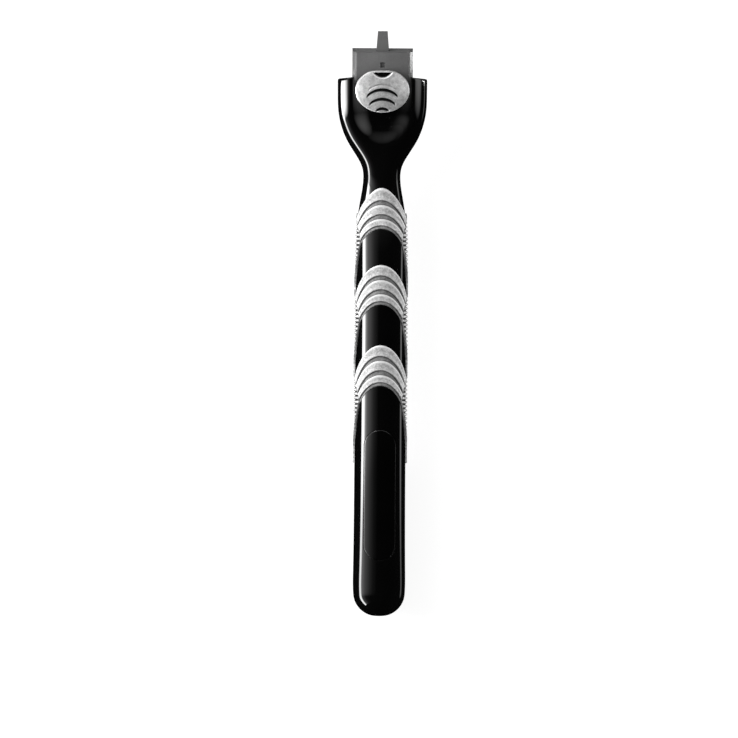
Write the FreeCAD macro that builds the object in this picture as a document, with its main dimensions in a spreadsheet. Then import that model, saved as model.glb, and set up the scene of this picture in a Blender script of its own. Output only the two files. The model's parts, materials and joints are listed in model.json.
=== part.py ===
import FreeCAD, Part
import math
import os

import Sketcher
from FreeCAD import Placement, Rotation, Vector

# A wet-shaving razor handle that takes clip-on cartridges, lying on its back: +Z points out of the button
# side, +Y runs from the tail to the cartridge end, and the origin is under the middle of its length.
# "along" is a distance from the tail; the head mechanism lies in its own frame, tilted about X, whose
# Y runs along the cartridge tongue and whose Z points out of the button side.

DIMENSIONS = {
    "total_length": 135.0,
    # handle section
    "tail_radius": 5.5,
    "grip_front_power": 2.08,
    "grip_back_power": 3.3,
    "head_power": 3.1,
    "power_start_along": 99.0,
    "power_end_along": 116.0,
    "yoke_crown_radius": 83.0,
    "yoke_overhang": 0.4,
    # parting between the two shells
    "parting_height": 5.2,
    "parting_bend_radius": 90.0,
    "parting_head_drop": 0.6,
    "parting_gap": 0.03,
    # soft grip
    "grip_proud": 0.4,
    "grip_depth": 1.05,
    "channel_depth": 1.1,
    "grip_gap": 0.05,
    "lower_band_along": 62.4,
    "middle_band_along": 81.1,
    "upper_band_along": 99.2,
    "band_crown_height": 13.55,
    "band_crown_length": 9.35,
    "band_top_slope": 1.65,
    "band_bottom_slope": 1.5,
    "groove_start": 2.55,
    "groove_pitch": 3.2,
    "groove_width": 1.05,
    "groove_depth": 0.32,
    "wing_root": 1.0,
    "wing_tip_below": 2.8,
    "wing_tip_height": 10.9,
    "wing_shoulder_ahead": 4.8,
    "wing_shoulder_height": 8.6,
    "wing_front_ahead": 6.5,
    "wing_belly_behind": 8.8,
    "wing_belly_height": 7.7,
    "wing_back_behind": 11.0,
    "rest_height": 0.0,
    "back_grip_start": 35.3,
    "back_grip_end": 93.0,
    # inlay in the palm end
    "inlay_width": 7.3,
    "inlay_length": 30.0,
    "inlay_along": 27.9,
    "inlay_gap": 0.05,
    # metal core and the pegs that pass through it
    "core_start": 10.0,
    "core_end": 93.0,
    "core_width": 5.8,
    "core_bottom": 4.9,
    "core_top": 9.8,
    "core_gap": 0.1,
    "peg_radius": 1.0,
    "peg_gap": 0.06,
    "peg_root": 1.0,
    "peg_bottom": 3.3,
    "peg_first_along": 19.0,
    "peg_pitch": 28.0,
    # head frame
    "head_along": 124.2,
    "head_height": 13.86,
    "head_tilt": 14.0,
    # cartridge tongue
    "tongue_width": 14.0,
    "tongue_thickness": 4.2,
    "tongue_reach": 6.55,
    "tongue_tail": 11.0,
    "tongue_chamfer": 1.0,
    "tongue_gap": 0.05,
    "lug_width": 6.0,
    "lug_drop": 0.8,
    "lug_start": -10.0,
    "lug_end": -8.0,
    "catch_start": 2.7,
    "catch_end": 4.7,
    "catch_width": 2.4,
    "catch_offset": 4.6,
    "catch_depth": 0.7,
    "stop_width": 1.0,
    "stop_start": 2.95,
    "stop_end": 4.2,
    "stop_depth": 0.4,
    # plunger, in its pocket in the tongue
    "plunger_reach": 10.93,
    "plunger_root_width": 2.9,
    "plunger_tip_width": 2.26,
    "plunger_thickness": 1.6,
    "plunger_block_width": 4.2,
    "plunger_block_thickness": 2.5,
    "plunger_block_start": 0.9,
    "plunger_block_end": 5.15,
    "tab_root": 1.0,
    "pocket_end": 5.2,
    "pocket_gap": 0.1,
    "pin_radius": 0.75,
    "pin_root": 1.0,
    "plunger_pin_length": 2.2,
    "plug_length": 2.9,
    "plug_rear_pin": 1.2,
    "plug_front_pin": 1.4,
    # springs
    "spring_radius": 1.1,
    "spring_wire": 0.32,
    "spring_seat": 0.02,
    "plunger_spring_turns": 9.0,
    "button_spring_turns": 5.0,
    # release button
    "button_width": 12.5,
    "button_length": 10.4,
    "button_centre": -1.6,
    "button_flat": 4.93,
    "button_top": 6.95,
    "button_dome_radius": 19.0,
    "button_gap": 0.25,
    "rib_width": 0.55,
    "rib_depth": 0.65,
    "first_rib_radius": 4.5,
    "first_rib_crown": 0.85,
    "first_rib_half_width": 3.6,
    "second_rib_radius": 3.8,
    "second_rib_crown": -1.4,
    "second_rib_half_width": 3.0,
    "third_rib_radius": 1.9,
    "third_rib_crown": -3.74,
    "third_rib_half_width": 1.45,
    "dimple_radius": 3.03,
    "dimple_ahead": 1.57,
    "dimple_lip": 0.46,
    "dimple_depth": 1.6,
    "slider_bottom": 2.2,
    "slider_top": 3.3,
    "slider_width": 11.2,
    "slider_start": -8.5,
    "slider_end": 0.0,
    "bridge_end": -5.5,
    "arm_inside": 7.15,
    "arm_outside": 8.35,
    "arm_bottom": -1.2,
    "arm_end": -0.6,
    "boss_width": 5.2,
    "boss_length": 4.4,
    "boss_top": 4.2,
    "boss_gap": 0.03,
    "strip_width": 3.2,
    "strip_top": 2.8,
    "hook_start": -18.0,
    "hook_end": -17.0,
    "hook_bottom": -1.3,
    # hollows of the head
    "mouth_width": 17.0,
    "mouth_bottom": -2.2,
    "mouth_top": 3.4,
    "clearance": 0.2,
    "scoop_centre": -4.0,
    "scoop_height": 9.0,
    "scoop_half_width": 10.0,
    "scoop_half_length": 14.4,
    "scoop_half_depth": 5.0,
}

# Outline of the handle: distance from the tail, half width, height of the back and height of the front.
STATIONS = {
    "tail": (5.5, 5.97, 0.75, 12.1),
    "heel": (10.5, 6.02, 0.62, 12.32),
    "palm": (30.0, 5.9, 0.3, 12.85),
    "low_grip": (50.0, 5.88, 0.25, 13.15),
    "mid_grip": (66.0, 5.87, 0.25, 13.2),
    "high_grip": (79.0, 5.84, 0.6, 13.12),
    "shoulder": (88.0, 5.72, 1.45, 12.85),
    "taper": (94.0, 5.27, 2.55, 12.65),
    "low_neck": (98.3, 4.55, 3.57, 12.85),
    "neck": (101.0, 4.28, 4.25, 13.3),
    "high_neck": (103.8, 4.66, 4.95, 14.0),
    "low_flare": (106.6, 6.16, 5.65, 14.9),
    "flare": (109.4, 7.9, 6.35, 15.85),
    "high_flare": (112.8, 9.35, 7.2, 16.95),
    "low_yoke": (116.3, 10.12, 8.07, 18.0),
    "yoke": (120.0, 10.3, 9.0, 19.0),
    "yoke_top": (124.7, 10.33, 10.17, 20.17),
}
STATION_SIZES = ("along", "half_width", "back", "front")

SECTION_POINTS = 24
TAIL_SECTIONS = 6
BANDS = ("lower", "middle", "upper")
GROOVES = 3
PEGS = 3
FAR = 40.0
EDGE_TOLERANCE = 0.1

doc = FreeCAD.newDocument("razor_handle")
sheet = doc.addObject("Spreadsheet::Sheet", "dims")


def fill_sheet():
    """Every driving size in its own named cell."""
    cells = dict(DIMENSIONS)
    for station, sizes in STATIONS.items():
        for size, value in zip(STATION_SIZES, sizes):
            cells[f"{station}_{size}"] = value
    for row, (alias, value) in enumerate(cells.items(), start=1):
        sheet.set(f"A{row}", alias)
        sheet.set(f"B{row}", str(value))
        sheet.setAlias(f"B{row}", alias)
    doc.recompute()


def dim(alias):
    """The value of a named cell."""
    return float(sheet.get(alias))


fill_sheet()


# ---------------------------------------------------------------- sketch and primitive helpers


def e(text):
    """An expression in which every @name is a cell of the sheet."""
    return text.replace("@", "dims.")


def bind(thing, **expressions):
    """Binds properties, written with __ for a dot, to expressions of the sheet."""
    for name, text in expressions.items():
        thing.setExpression(name.replace("__", "."), e(text))
    return thing


def span_box(name, x, y, z):
    """A box from low to high corner; each side is a pair of expressions."""
    box = doc.addObject("Part::Box", name)
    for size, base, (low, high) in zip(("Length", "Width", "Height"), "xyz", (x, y, z)):
        box.setExpression(size, e(f"({high}) - ({low})"))
        box.setExpression(f"Placement.Base.{base}", e(low))
    return box


def mirrored_boxes(name, x, y, z):
    """The same box on the +X and the -X side."""
    low, high = x
    right = span_box(f"{name}_right", (low, high), y, z)
    left = span_box(f"{name}_left", (f"-({high})", f"-({low})"), y, z)
    return [right, left]


def rod(name, radius, y):
    """A cylinder along Y on the frame's axis, from low to high."""
    low, high = y
    cylinder = doc.addObject("Part::Cylinder", name)
    cylinder.Placement = Placement(Vector(0, 0, 0), Rotation(Vector(1, 0, 0), -90))
    bind(cylinder, Radius=radius, Height=f"({high}) - ({low})", Placement__Base__y=low)
    return cylinder


def fuse(name, *parts):
    result = doc.addObject("Part::MultiFuse", name)
    result.Shapes = list(parts)
    return result


def common(name, *parts):
    result = doc.addObject("Part::MultiCommon", name)
    result.Shapes = list(parts)
    return result


def cut(name, base, *tools):
    """The base without any of the tools."""
    result = doc.addObject("Part::Cut", name)
    result.Base = base
    result.Tool = tools[0] if len(tools) == 1 else fuse(f"{name}_tools", *tools)
    return result


def node(thing, label):
    """Marks a finished sub-part: its label names its file."""
    thing.Label = label
    NODES.append(thing)
    return thing


NODES = []


def in_head(thing):
    """Puts an object drawn in the head frame where the head is."""
    thing.Placement = Placement(Vector(0, 0, 0), Rotation(Vector(1, 0, 0), dim("head_tilt")))
    return bind(
        thing,
        Placement__Base__y="@head_along - @total_length / 2",
        Placement__Base__z="@head_height",
        Placement__Rotation__Angle="@head_tilt",
    )


def polygon(sketch, points):
    """A closed outline whose corners are pairs of expressions."""
    doc.recompute()
    count = len(points)
    turns = [2 * math.pi * k / count for k in range(count)]
    rough = [Vector(FAR * math.cos(turn), FAR * math.sin(turn), 0) for turn in turns]
    for k in range(count):
        sketch.addGeometry(Part.LineSegment(rough[k], rough[(k + 1) % count]), False)
    for k in range(count):
        sketch.addConstraint(Sketcher.Constraint("Coincident", k, 2, (k + 1) % count, 1))
    for k, corner in enumerate(points):
        for kind, place, text in zip(("DistanceX", "DistanceY"), rough[k], corner):
            held = sketch.addConstraint(Sketcher.Constraint(kind, -1, 1, k, 1, place))
            sketch.setExpression(f"Constraints[{held}]", e(text))
    return sketch


def side_sketch(name):
    """A sketch in the side view: its X is the row's Y and its Y is the row's Z."""
    sketch = doc.addObject("Sketcher::SketchObject", name)
    sketch.Placement = Placement(Vector(0, 0, 0), Rotation(Vector(1, 1, 1), 120))
    return sketch


def across_block(name, sketch):
    """A side view outline carried right across the handle."""
    block = doc.addObject("Part::Extrusion", name)
    block.Base = sketch
    block.DirMode = "Custom"
    block.Dir = Vector(1, 0, 0)
    block.LengthFwd = FAR
    block.Symmetric = True
    block.Solid = True
    return block


# ---------------------------------------------------------------- outer form


def station_sizes(station, outset):
    """Half width, middle height and half depth of a station, drawn this far outside the surface."""
    back = dim(f"{station}_back")
    front = dim(f"{station}_front")
    return dim(f"{station}_half_width") + outset, (front + back) / 2, (front - back) / 2 + outset


def powers_at(along):
    """Exponents of the section's front and back halves: round in the grip, boxier in the head."""
    start = dim("power_start_along")
    share = (along - start) / (dim("power_end_along") - start)
    share = min(max(share, 0.0), 1.0)
    share = share * share * (3 - 2 * share)
    head = dim("head_power")
    front = dim("grip_front_power")
    back = dim("grip_back_power")
    return front + (head - front) * share, back + (head - back) * share


def section_poles(station, outset, along):
    """Control points of one closed superellipse across the handle, this far from the tail."""
    half_width, middle, half_depth = station_sizes(station, outset)
    front_power, back_power = powers_at(along)
    points = []
    for k in range(SECTION_POINTS):
        turn = 2 * math.pi * k / SECTION_POINTS
        power = front_power if math.sin(turn) >= 0 else back_power
        reach = (abs(math.cos(turn)) ** power + abs(math.sin(turn)) ** power) ** (-1 / power)
        x = half_width * reach * math.cos(turn)
        z = middle + half_depth * reach * math.sin(turn)
        points.append(Vector(x, along - dim("total_length") / 2, z))
    curve = Part.BSplineCurve()
    places = [float(k) for k in range(SECTION_POINTS + 1)]
    curve.interpolate(Points=points, PeriodicFlag=True, Parameters=places)
    return curve


def skin(curves, places):
    """A smooth closed solid through the section curves, each at its own place along the surface."""
    columns = []
    for poles in zip(*(curve.getPoles() for curve in curves)):
        column = Part.BSplineCurve()
        column.interpolate(Points=list(poles), Parameters=places)
        columns.append(column)
    around = curves[0]
    lengthwise = columns[0]
    surface = Part.BSplineSurface()
    surface.buildFromPolesMultsKnots(
        [column.getPoles() for column in columns],
        around.getMultiplicities(),
        lengthwise.getMultiplicities(),
        around.getKnots(),
        lengthwise.getKnots(),
        True,
        False,
        around.Degree,
        lengthwise.Degree,
    )
    side = surface.toShape()
    caps = [Part.Face(Part.Wire([end])) for end in side.Edges if end.isClosed()]
    shell = Part.makeShell([side, *caps])
    shell.sewShape()
    return Part.makeSolid(shell)


def form(name, outset):
    """The outer form, drawn this far outside the surface. Only the surface itself has the round tail."""
    radius = dim("tail_radius")
    curves = []
    places = []
    for k in range(TAIL_SECTIONS if outset == 0 else 0):
        turn = math.pi / 2 * k / TAIL_SECTIONS
        curves.append(section_poles("tail", -radius * (1 - math.sin(turn)), radius * (1 - math.cos(turn))))
        places.append(radius * (turn - math.pi / 2) + radius)
    for station in STATIONS:
        along = dim(f"{station}_along")
        curves.append(section_poles(station, outset, along))
        places.append(along)
    feature = doc.addObject("Part::Feature", name)
    feature.Shape = skin(curves, places)
    return feature


def whole_form():
    """The outer form, cut off by the crowned top of the yoke."""
    crown = doc.addObject("Part::Cylinder", "yoke_crown")
    bind(
        crown,
        Radius="@yoke_crown_radius",
        Height=f"{2 * FAR}",
        Placement__Base__y="@head_along + @yoke_overhang - @total_length / 2 - @yoke_crown_radius",
        Placement__Base__z=f"-{FAR}",
    )
    return common("handle_form", form("full_form", 0.0), crown)


handle_form = whole_form()
proud_form = form("proud_form", dim("grip_proud"))
underside_form = form("underside_form", -dim("grip_depth"))
channel_form = form("channel_form", -dim("channel_depth"))
grip_skin = cut("grip_skin", proud_form, underside_form)
channel_skin = cut("channel_skin", proud_form, channel_form)


# ---------------------------------------------------------------- parting of the shells

HEAD_SLOPE = "tan(@head_tilt * 1 deg)"
HEAD_PARTING = f"(@head_height - @parting_head_drop / cos(@head_tilt * 1 deg))"
BEND_Y = f"(@head_along - ({HEAD_PARTING} - @parting_height) / {HEAD_SLOPE} - @total_length / 2)"


def parting_block(name, side):
    """Everything in front of the parting (side 1) or behind it (side -1), with half the gap on each side.
    The parting runs level along the grip and rises with the head, with one large arc between."""
    raised = f"+ {side} * @parting_gap"
    far_y = f"({BEND_Y} + {FAR})"
    corners = [
        ("-@total_length", f"@parting_height {raised}"),
        (BEND_Y, f"@parting_height {raised}"),
        (far_y, f"@parting_height + {FAR} * {HEAD_SLOPE} {raised}"),
        (far_y, f"{side * FAR}"),
        ("-@total_length", f"{side * FAR}"),
    ]
    block = across_block(f"{name}_sharp", polygon(side_sketch(f"{name}_outline"), corners))
    doc.recompute()
    bend = doc.addObject("Part::Fillet", name)
    bend.Base = block
    radius = dim("parting_bend_radius")
    bend.Edges = [(bend_edge(block.Shape), radius, radius)]
    return bend


def bend_edge(shape):
    """The number of the edge where the level stretch of the parting meets its slope."""
    level = dim("parting_height")
    at_level = []
    for k, edge in enumerate(shape.Edges, start=1):
        middle = edge.CenterOfMass
        if abs(middle.z - level) < EDGE_TOLERANCE and abs(middle.x) < EDGE_TOLERANCE:
            at_level.append((middle.y, k))
    return max(at_level)[1]


front_half = parting_block("front_half", 1)
back_half = parting_block("back_half", -1)


# ---------------------------------------------------------------- soft grip


def slanted_outline(name, start, length, widened):
    """A slanted stripe in the side view. It starts this far below the upper edge of a band, whose two
    edges fall from the front crown to the flank, the lower one less steeply."""
    top = f"({start} - {widened})"
    bottom = f"({start} + {length} + {widened})"
    slopes = []
    for place in (top, bottom):
        share = f"({place} / @band_crown_length)"
        slopes.append(f"(@band_top_slope + (@band_bottom_slope - @band_top_slope) * {share})")
    high = f"{FAR / 2}"
    low = "(@parting_height + 2 * @parting_gap)"
    corners = []
    for place, slope, height in (
        (top, slopes[0], low),
        (top, slopes[0], high),
        (bottom, slopes[1], high),
        (bottom, slopes[1], low),
    ):
        across = f"-({place}) - {slope} * (@band_crown_height - {height})"
        corners.append((across, height))
    return polygon(side_sketch(name), corners)


def stripe(name, start, length, widened, band):
    """A slanted stripe moved up the handle to its own band."""
    block = across_block(name, slanted_outline(f"{name}_outline", start, length, widened))
    return bind(block, Placement__Base__y=f"@{band}_band_along - @total_length / 2")


def grip_band(band):
    """Three soft slanted ribs with grooves between, moulded into a channel of the front shell."""
    window = stripe(f"{band}_window", "0", "@band_crown_length", "0", band)
    blank = common(f"{band}_blank", grip_skin, window)
    grooves = []
    for k in range(GROOVES):
        start = f"(@groove_start + {k} * @groove_pitch)"
        groove = stripe(f"{band}_groove_{k + 1}", start, "@groove_width", "0", band)
        grooves.append(cut(f"{band}_groove_cut_{k + 1}", groove, groove_form))
    wing_gap = wing(f"{band}_wing_gap", "@grip_gap", band)
    return node(cut(band, blank, wing_gap, *grooves), f"{band}_grip_band")


def wing(name, widened, band):
    """A pointed wing of the back grip in the side view. It comes forward between the ends of a band's ribs
    and the panel below the band."""
    tip = "(-@band_crown_length - @wing_tip_below)"
    base = "(@parting_height - @wing_root)"
    corners = [
        (tip, f"@wing_tip_height + {widened}"),
        (f"{tip} + @wing_shoulder_ahead + {widened}", f"@wing_shoulder_height + {widened}"),
        (f"{tip} + @wing_front_ahead + {widened}", base),
        (f"{tip} - @wing_back_behind - {widened}", base),
        (f"{tip} - @wing_belly_behind - {widened}", f"@wing_belly_height + {widened}"),
    ]
    block = across_block(name, polygon(side_sketch(f"{name}_outline"), corners))
    return bind(block, Placement__Base__y=f"@{band}_band_along - @total_length / 2")


def wings(name, widened):
    """The wings below all the bands."""
    return [wing(f"{band}_{name}", widened, band) for band in BANDS]


def band_channel(band):
    """The channel that the front shell needs for a band."""
    window = stripe(f"{band}_channel_window", "0", "@band_crown_length", "@grip_gap", band)
    return common(f"{band}_channel", channel_skin, window)


def back_stretch(name, widened, bottom):
    """Everything above this height over the length of the back grip."""
    start = f"(@back_grip_start - {widened} - @total_length / 2)"
    end = f"(@back_grip_end + {widened} - @total_length / 2)"
    return span_box(name, (f"-{FAR}", f"{FAR}"), (start, end), (bottom, f"{FAR}"))


groove_form = form("groove_form", dim("grip_proud") - dim("groove_depth"))
for band_name in BANDS:
    grip_band(band_name)
band_channels = [band_channel(band_name) for band_name in BANDS]
wing_windows = fuse("wing_windows", *wings("wing_window", "@grip_gap"))
wing_channel = common("wing_channel", channel_skin, wing_windows)
grip_region = fuse("grip_region", back_half, *wings("wing", "0"))
grip_stretch = back_stretch("grip_stretch", "0", "@rest_height")
node(common("grip", grip_skin, grip_region, grip_stretch), "back_grip")
channel_stretch = back_stretch("channel_stretch", "@grip_gap", f"-{FAR}")
back_channel = common("back_channel", channel_skin, back_half, channel_stretch)


# ---------------------------------------------------------------- palm inlay


def inlay_prism(name, widened):
    """A long round-ended prism standing through the front of the palm end."""
    width = f"(@inlay_width + 2 * {widened})"
    straight = "(@inlay_length - @inlay_width)"
    middle = "(@inlay_along - @total_length / 2)"
    bar = span_box(
        f"{name}_bar",
        (f"-{width} / 2", f"{width} / 2"),
        (f"{middle} - {straight} / 2", f"{middle} + {straight} / 2"),
        ("@core_top", f"{FAR / 2}"),
    )
    ends = []
    for side, sign in (("lower", "-"), ("upper", "+")):
        end = doc.addObject("Part::Cylinder", f"{name}_{side}_end")
        bind(
            end,
            Radius=f"{width} / 2",
            Height=f"{FAR / 2} - @core_top",
            Placement__Base__y=f"{middle} {sign} {straight} / 2",
            Placement__Base__z="@core_top",
        )
        ends.append(end)
    return fuse(name, bar, *ends)


inlay_skin = cut("inlay_skin", handle_form, underside_form)
node(common("inlay", inlay_skin, inlay_prism("inlay_prism", "0")), "inlay_panel")
inlay_recess = common("inlay_recess", channel_skin, inlay_prism("inlay_hole", "@inlay_gap"))


# ---------------------------------------------------------------- metal core


def core_block(name, widened):
    """The bar along the inside of the grip."""
    half = f"(@core_width / 2 + {widened})"
    return span_box(
        name,
        (f"-{half}", half),
        (f"@core_start - {widened} - @total_length / 2", f"@core_end + {widened} - @total_length / 2"),
        (f"@core_bottom - {widened}", f"@core_top + {widened}"),
    )


def pegs(name, widened, bottom):
    """Round pegs of the front shell, or the holes that they need."""
    found = []
    for k in range(PEGS):
        peg = doc.addObject("Part::Cylinder", f"{name}_{k + 1}")
        bind(
            peg,
            Radius=f"@peg_radius + {widened}",
            Height=f"@core_top + @peg_root - ({bottom})",
            Placement__Base__y=f"@peg_first_along + {k} * @peg_pitch - @total_length / 2",
            Placement__Base__z=bottom,
        )
        found.append(peg)
    return found


core_bar = core_block("core_bar", "0")
node(cut("core", core_bar, *pegs("core_hole", "2 * @peg_gap", "0")), "metal_core")
core_pocket = core_block("core_pocket", "@core_gap")
peg_sockets = fuse("peg_sockets", *pegs("peg_socket", "@peg_gap", "@peg_bottom - 2 * @peg_gap"))


# ---------------------------------------------------------------- hollows of the head


def button_outline(body, name, widened, closed_at_flat):
    """The button's oval, from its low end up to its flat top edge, as a sketch in the head frame."""
    sketch = body.newObject("Sketcher::SketchObject", name)
    plane = [f for f in body.Origin.OriginFeatures if f.Role == "XY_Plane"][0]
    sketch.AttachmentSupport = [(plane, "")]
    sketch.MapMode = "FlatFace"
    half_width = dim("button_width") / 2 + widened
    half_length = dim("button_length") / 2 + widened
    centre = dim("button_centre")
    top = dim("button_flat") + centre if closed_at_flat else FAR / 4
    if closed_at_flat:
        rise = (top - centre) / half_length
        corner = half_width * math.sqrt(1 - rise * rise)
    else:
        rise = 0.0
        corner = half_width
    start = math.asin(rise)
    oval = Part.Ellipse(
        Vector(half_width, centre, 0), Vector(0, centre + half_length, 0), Vector(0, centre, 0)
    )
    sketch.addGeometry(Part.ArcOfEllipse(oval, math.pi - start, 2 * math.pi + start), False)
    corners = [Vector(corner, centre + rise * half_length, 0)]
    if not closed_at_flat:
        corners += [Vector(corner, top, 0), Vector(-corner, top, 0)]
    corners.append(Vector(-corner, centre + rise * half_length, 0))
    for first, second in zip(corners, corners[1:]):
        sketch.addGeometry(Part.LineSegment(first, second), False)
    return sketch


def pad(body, name, sketch, start, end):
    """Material from one height to another above the sketch's plane."""
    doc.recompute()
    sketch.setExpression("AttachmentOffset.Base.z", e(start))
    feature = body.newObject("PartDesign::Pad", name)
    feature.Profile = sketch
    feature.setExpression("Length", e(f"({end}) - ({start})"))
    return feature


def head_hollow():
    """The room for the tongue, the slider and the springs."""
    half = "@mouth_width / 2"
    tail = "-@tongue_tail - @clearance / 2"
    strip = "@strip_width / 2 + @clearance"
    rear = "@hook_start - @clearance"
    mouth = span_box(
        "mouth",
        (f"-{half}", half),
        ("@slider_start - @clearance", f"{FAR}"),
        ("@mouth_bottom", "@mouth_top"),
    )
    tongue_bed = span_box(
        "tongue_bed",
        ("-@tongue_width / 2 - @tongue_gap", "@tongue_width / 2 + @tongue_gap"),
        (tail, "0"),
        ("@mouth_bottom", "@slider_bottom"),
    )
    strip_slot = span_box(
        "strip_slot",
        (f"-({strip})", strip),
        (rear, "0"),
        ("@tongue_thickness / 2", "@strip_top + @clearance"),
    )
    spring_room = span_box(
        "spring_room",
        (f"-({strip})", strip),
        (rear, "-@tongue_tail"),
        ("@hook_bottom - @clearance", "@strip_top + @clearance"),
    )
    lug_room = span_box(
        "lug_room",
        ("-@lug_width / 2 - @tongue_gap", "@lug_width / 2 + @tongue_gap"),
        ("@lug_start - @tongue_gap", "@lug_end + @tongue_gap"),
        ("-@tongue_thickness / 2 - @lug_drop - @tongue_gap", "0"),
    )
    return in_head(fuse("head_hollow", mouth, tongue_bed, strip_slot, spring_room, lug_room))


def thumb_opening():
    """The dished thumb rest, and the opening in it in which the button stands and slides."""
    notch = doc.addObject("PartDesign::Body", "notch")
    outline = button_outline(notch, "notch_outline", dim("button_gap"), False)
    pad(notch, "notch_pad", outline, "@mouth_top - @clearance", f"{FAR / 2}")
    dish = doc.addObject("Part::Ellipsoid", "scoop")
    bind(
        dish,
        Radius1="@scoop_half_depth",
        Radius2="@scoop_half_width",
        Radius3="@scoop_half_length",
        Placement__Base__y="@scoop_centre",
        Placement__Base__z="@scoop_height",
    )
    return in_head(fuse("thumb_opening", dish, notch))


hollow = head_hollow()
thumb_rest = thumb_opening()


# ---------------------------------------------------------------- shells

front_region = fuse("front_region", front_half, *pegs("peg_stub", "0", "@peg_bottom"))
front_blank = common("front_blank", handle_form, front_region)
front_pocket = cut("front_pocket", core_pocket, *pegs("peg_post", "0", "@peg_bottom"))
node(
    cut("front", front_blank, front_pocket, hollow, thumb_rest, inlay_recess, wing_channel, *band_channels),
    "front_shell",
)
back_blank = common("back_blank", handle_form, back_half)
node(cut("back", back_blank, core_pocket, hollow, back_channel, peg_sockets), "back_shell")


# ---------------------------------------------------------------- cartridge tongue


def upper_side_edges(shape):
    """The numbers of a block's two upper edges that run lengthwise."""
    middles = [edge.CenterOfMass for edge in shape.Edges]
    top = max(middle.z for middle in middles)
    side = max(middle.x for middle in middles)
    return [
        k
        for k, middle in enumerate(middles, start=1)
        if math.isclose(middle.z, top) and math.isclose(abs(middle.x), side)
    ]


def tongue():
    """The block that the cartridge slides on, hollow for the plunger."""
    half = "@tongue_width / 2"
    thick = "@tongue_thickness / 2"
    blade = span_box(
        "tongue_blade",
        (f"-{half}", half),
        ("-@tongue_tail", "@tongue_reach"),
        (f"-{thick}", thick),
    )
    doc.recompute()
    bevel = doc.addObject("Part::Chamfer", "tongue_bevel")
    bevel.Base = blade
    size = dim("tongue_chamfer")
    bevel.Edges = [(k, size, size) for k in upper_side_edges(blade.Shape)]
    lug = span_box(
        "tongue_lug",
        ("-@lug_width / 2", "@lug_width / 2"),
        ("@lug_start", "@lug_end"),
        ("-@tongue_thickness / 2 - @lug_drop", "0"),
    )
    pocket_half = "@plunger_block_width / 2 + @pocket_gap"
    pocket_thick = "@plunger_block_thickness / 2 + @pocket_gap"
    pocket = span_box(
        "plunger_pocket",
        (f"-({pocket_half})", pocket_half),
        ("-@tongue_tail - 1", "@pocket_end"),
        (f"-({pocket_thick})", pocket_thick),
    )
    slot_half = "@plunger_root_width / 2 + @pocket_gap"
    slot_thick = "@plunger_thickness / 2 + @pocket_gap"
    slot = span_box(
        "plunger_slot",
        (f"-({slot_half})", slot_half),
        ("0", "@tongue_reach + 1"),
        (f"-({slot_thick})", slot_thick),
    )
    catches = mirrored_boxes(
        "catch",
        ("@catch_offset - @catch_width / 2", "@catch_offset + @catch_width / 2"),
        ("@catch_start", "@catch_end"),
        ("-@tongue_thickness / 2 - 1", "-@tongue_thickness / 2 + @catch_depth"),
    )
    stop = span_box(
        "tongue_stop",
        ("-@stop_width / 2", "@stop_width / 2"),
        ("@stop_start", "@stop_end"),
        ("@tongue_thickness / 2 - @stop_depth", "@tongue_thickness / 2 + 1"),
    )
    solid = fuse("tongue_solid", bevel, lug)
    return node(in_head(cut("tongue", solid, pocket, slot, stop, *catches)), "cartridge_tongue")


def plunger():
    """The tab that presses on the cartridge, with its sliding block and spring pin."""
    block = span_box(
        "plunger_block",
        ("-@plunger_block_width / 2", "@plunger_block_width / 2"),
        ("@plunger_block_start", "@plunger_block_end"),
        ("-@plunger_block_thickness / 2", "@plunger_block_thickness / 2"),
    )
    sketch = doc.addObject("Sketcher::SketchObject", "plunger_tab_outline")
    polygon(
        sketch,
        [
            ("-@plunger_root_width / 2", "@plunger_block_end - @tab_root"),
            ("-@plunger_root_width / 2", "@tongue_reach"),
            ("-@plunger_tip_width / 2", "@plunger_reach"),
            ("@plunger_tip_width / 2", "@plunger_reach"),
            ("@plunger_root_width / 2", "@tongue_reach"),
            ("@plunger_root_width / 2", "@plunger_block_end - @tab_root"),
        ],
    )
    tab = doc.addObject("Part::Extrusion", "plunger_tab")
    tab.Base = sketch
    tab.DirMode = "Custom"
    tab.Dir = Vector(0, 0, 1)
    tab.Symmetric = True
    tab.Solid = True
    bind(tab, LengthFwd="@plunger_thickness")
    start = "@plunger_block_start"
    pin = rod("plunger_pin", "@pin_radius", (f"{start} - @plunger_pin_length", f"{start} + @pin_root"))
    return node(in_head(fuse("plunger", block, tab, pin)), "plunger")


def spring_plug():
    """Closes the back of the plunger's pocket and carries the ends of both springs."""
    rear = "(-@tongue_tail + @pocket_gap)"
    front = f"({rear} + @plug_length)"
    block = span_box(
        "plug_block",
        ("-@plunger_block_width / 2", "@plunger_block_width / 2"),
        (rear, front),
        ("-@plunger_block_thickness / 2", "@plunger_block_thickness / 2"),
    )
    pin = rod("plug_pin", "@pin_radius", (f"{rear} - @plug_rear_pin", f"{front} + @plug_front_pin"))
    return node(in_head(fuse("plug", block, pin)), "spring_plug")


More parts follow.
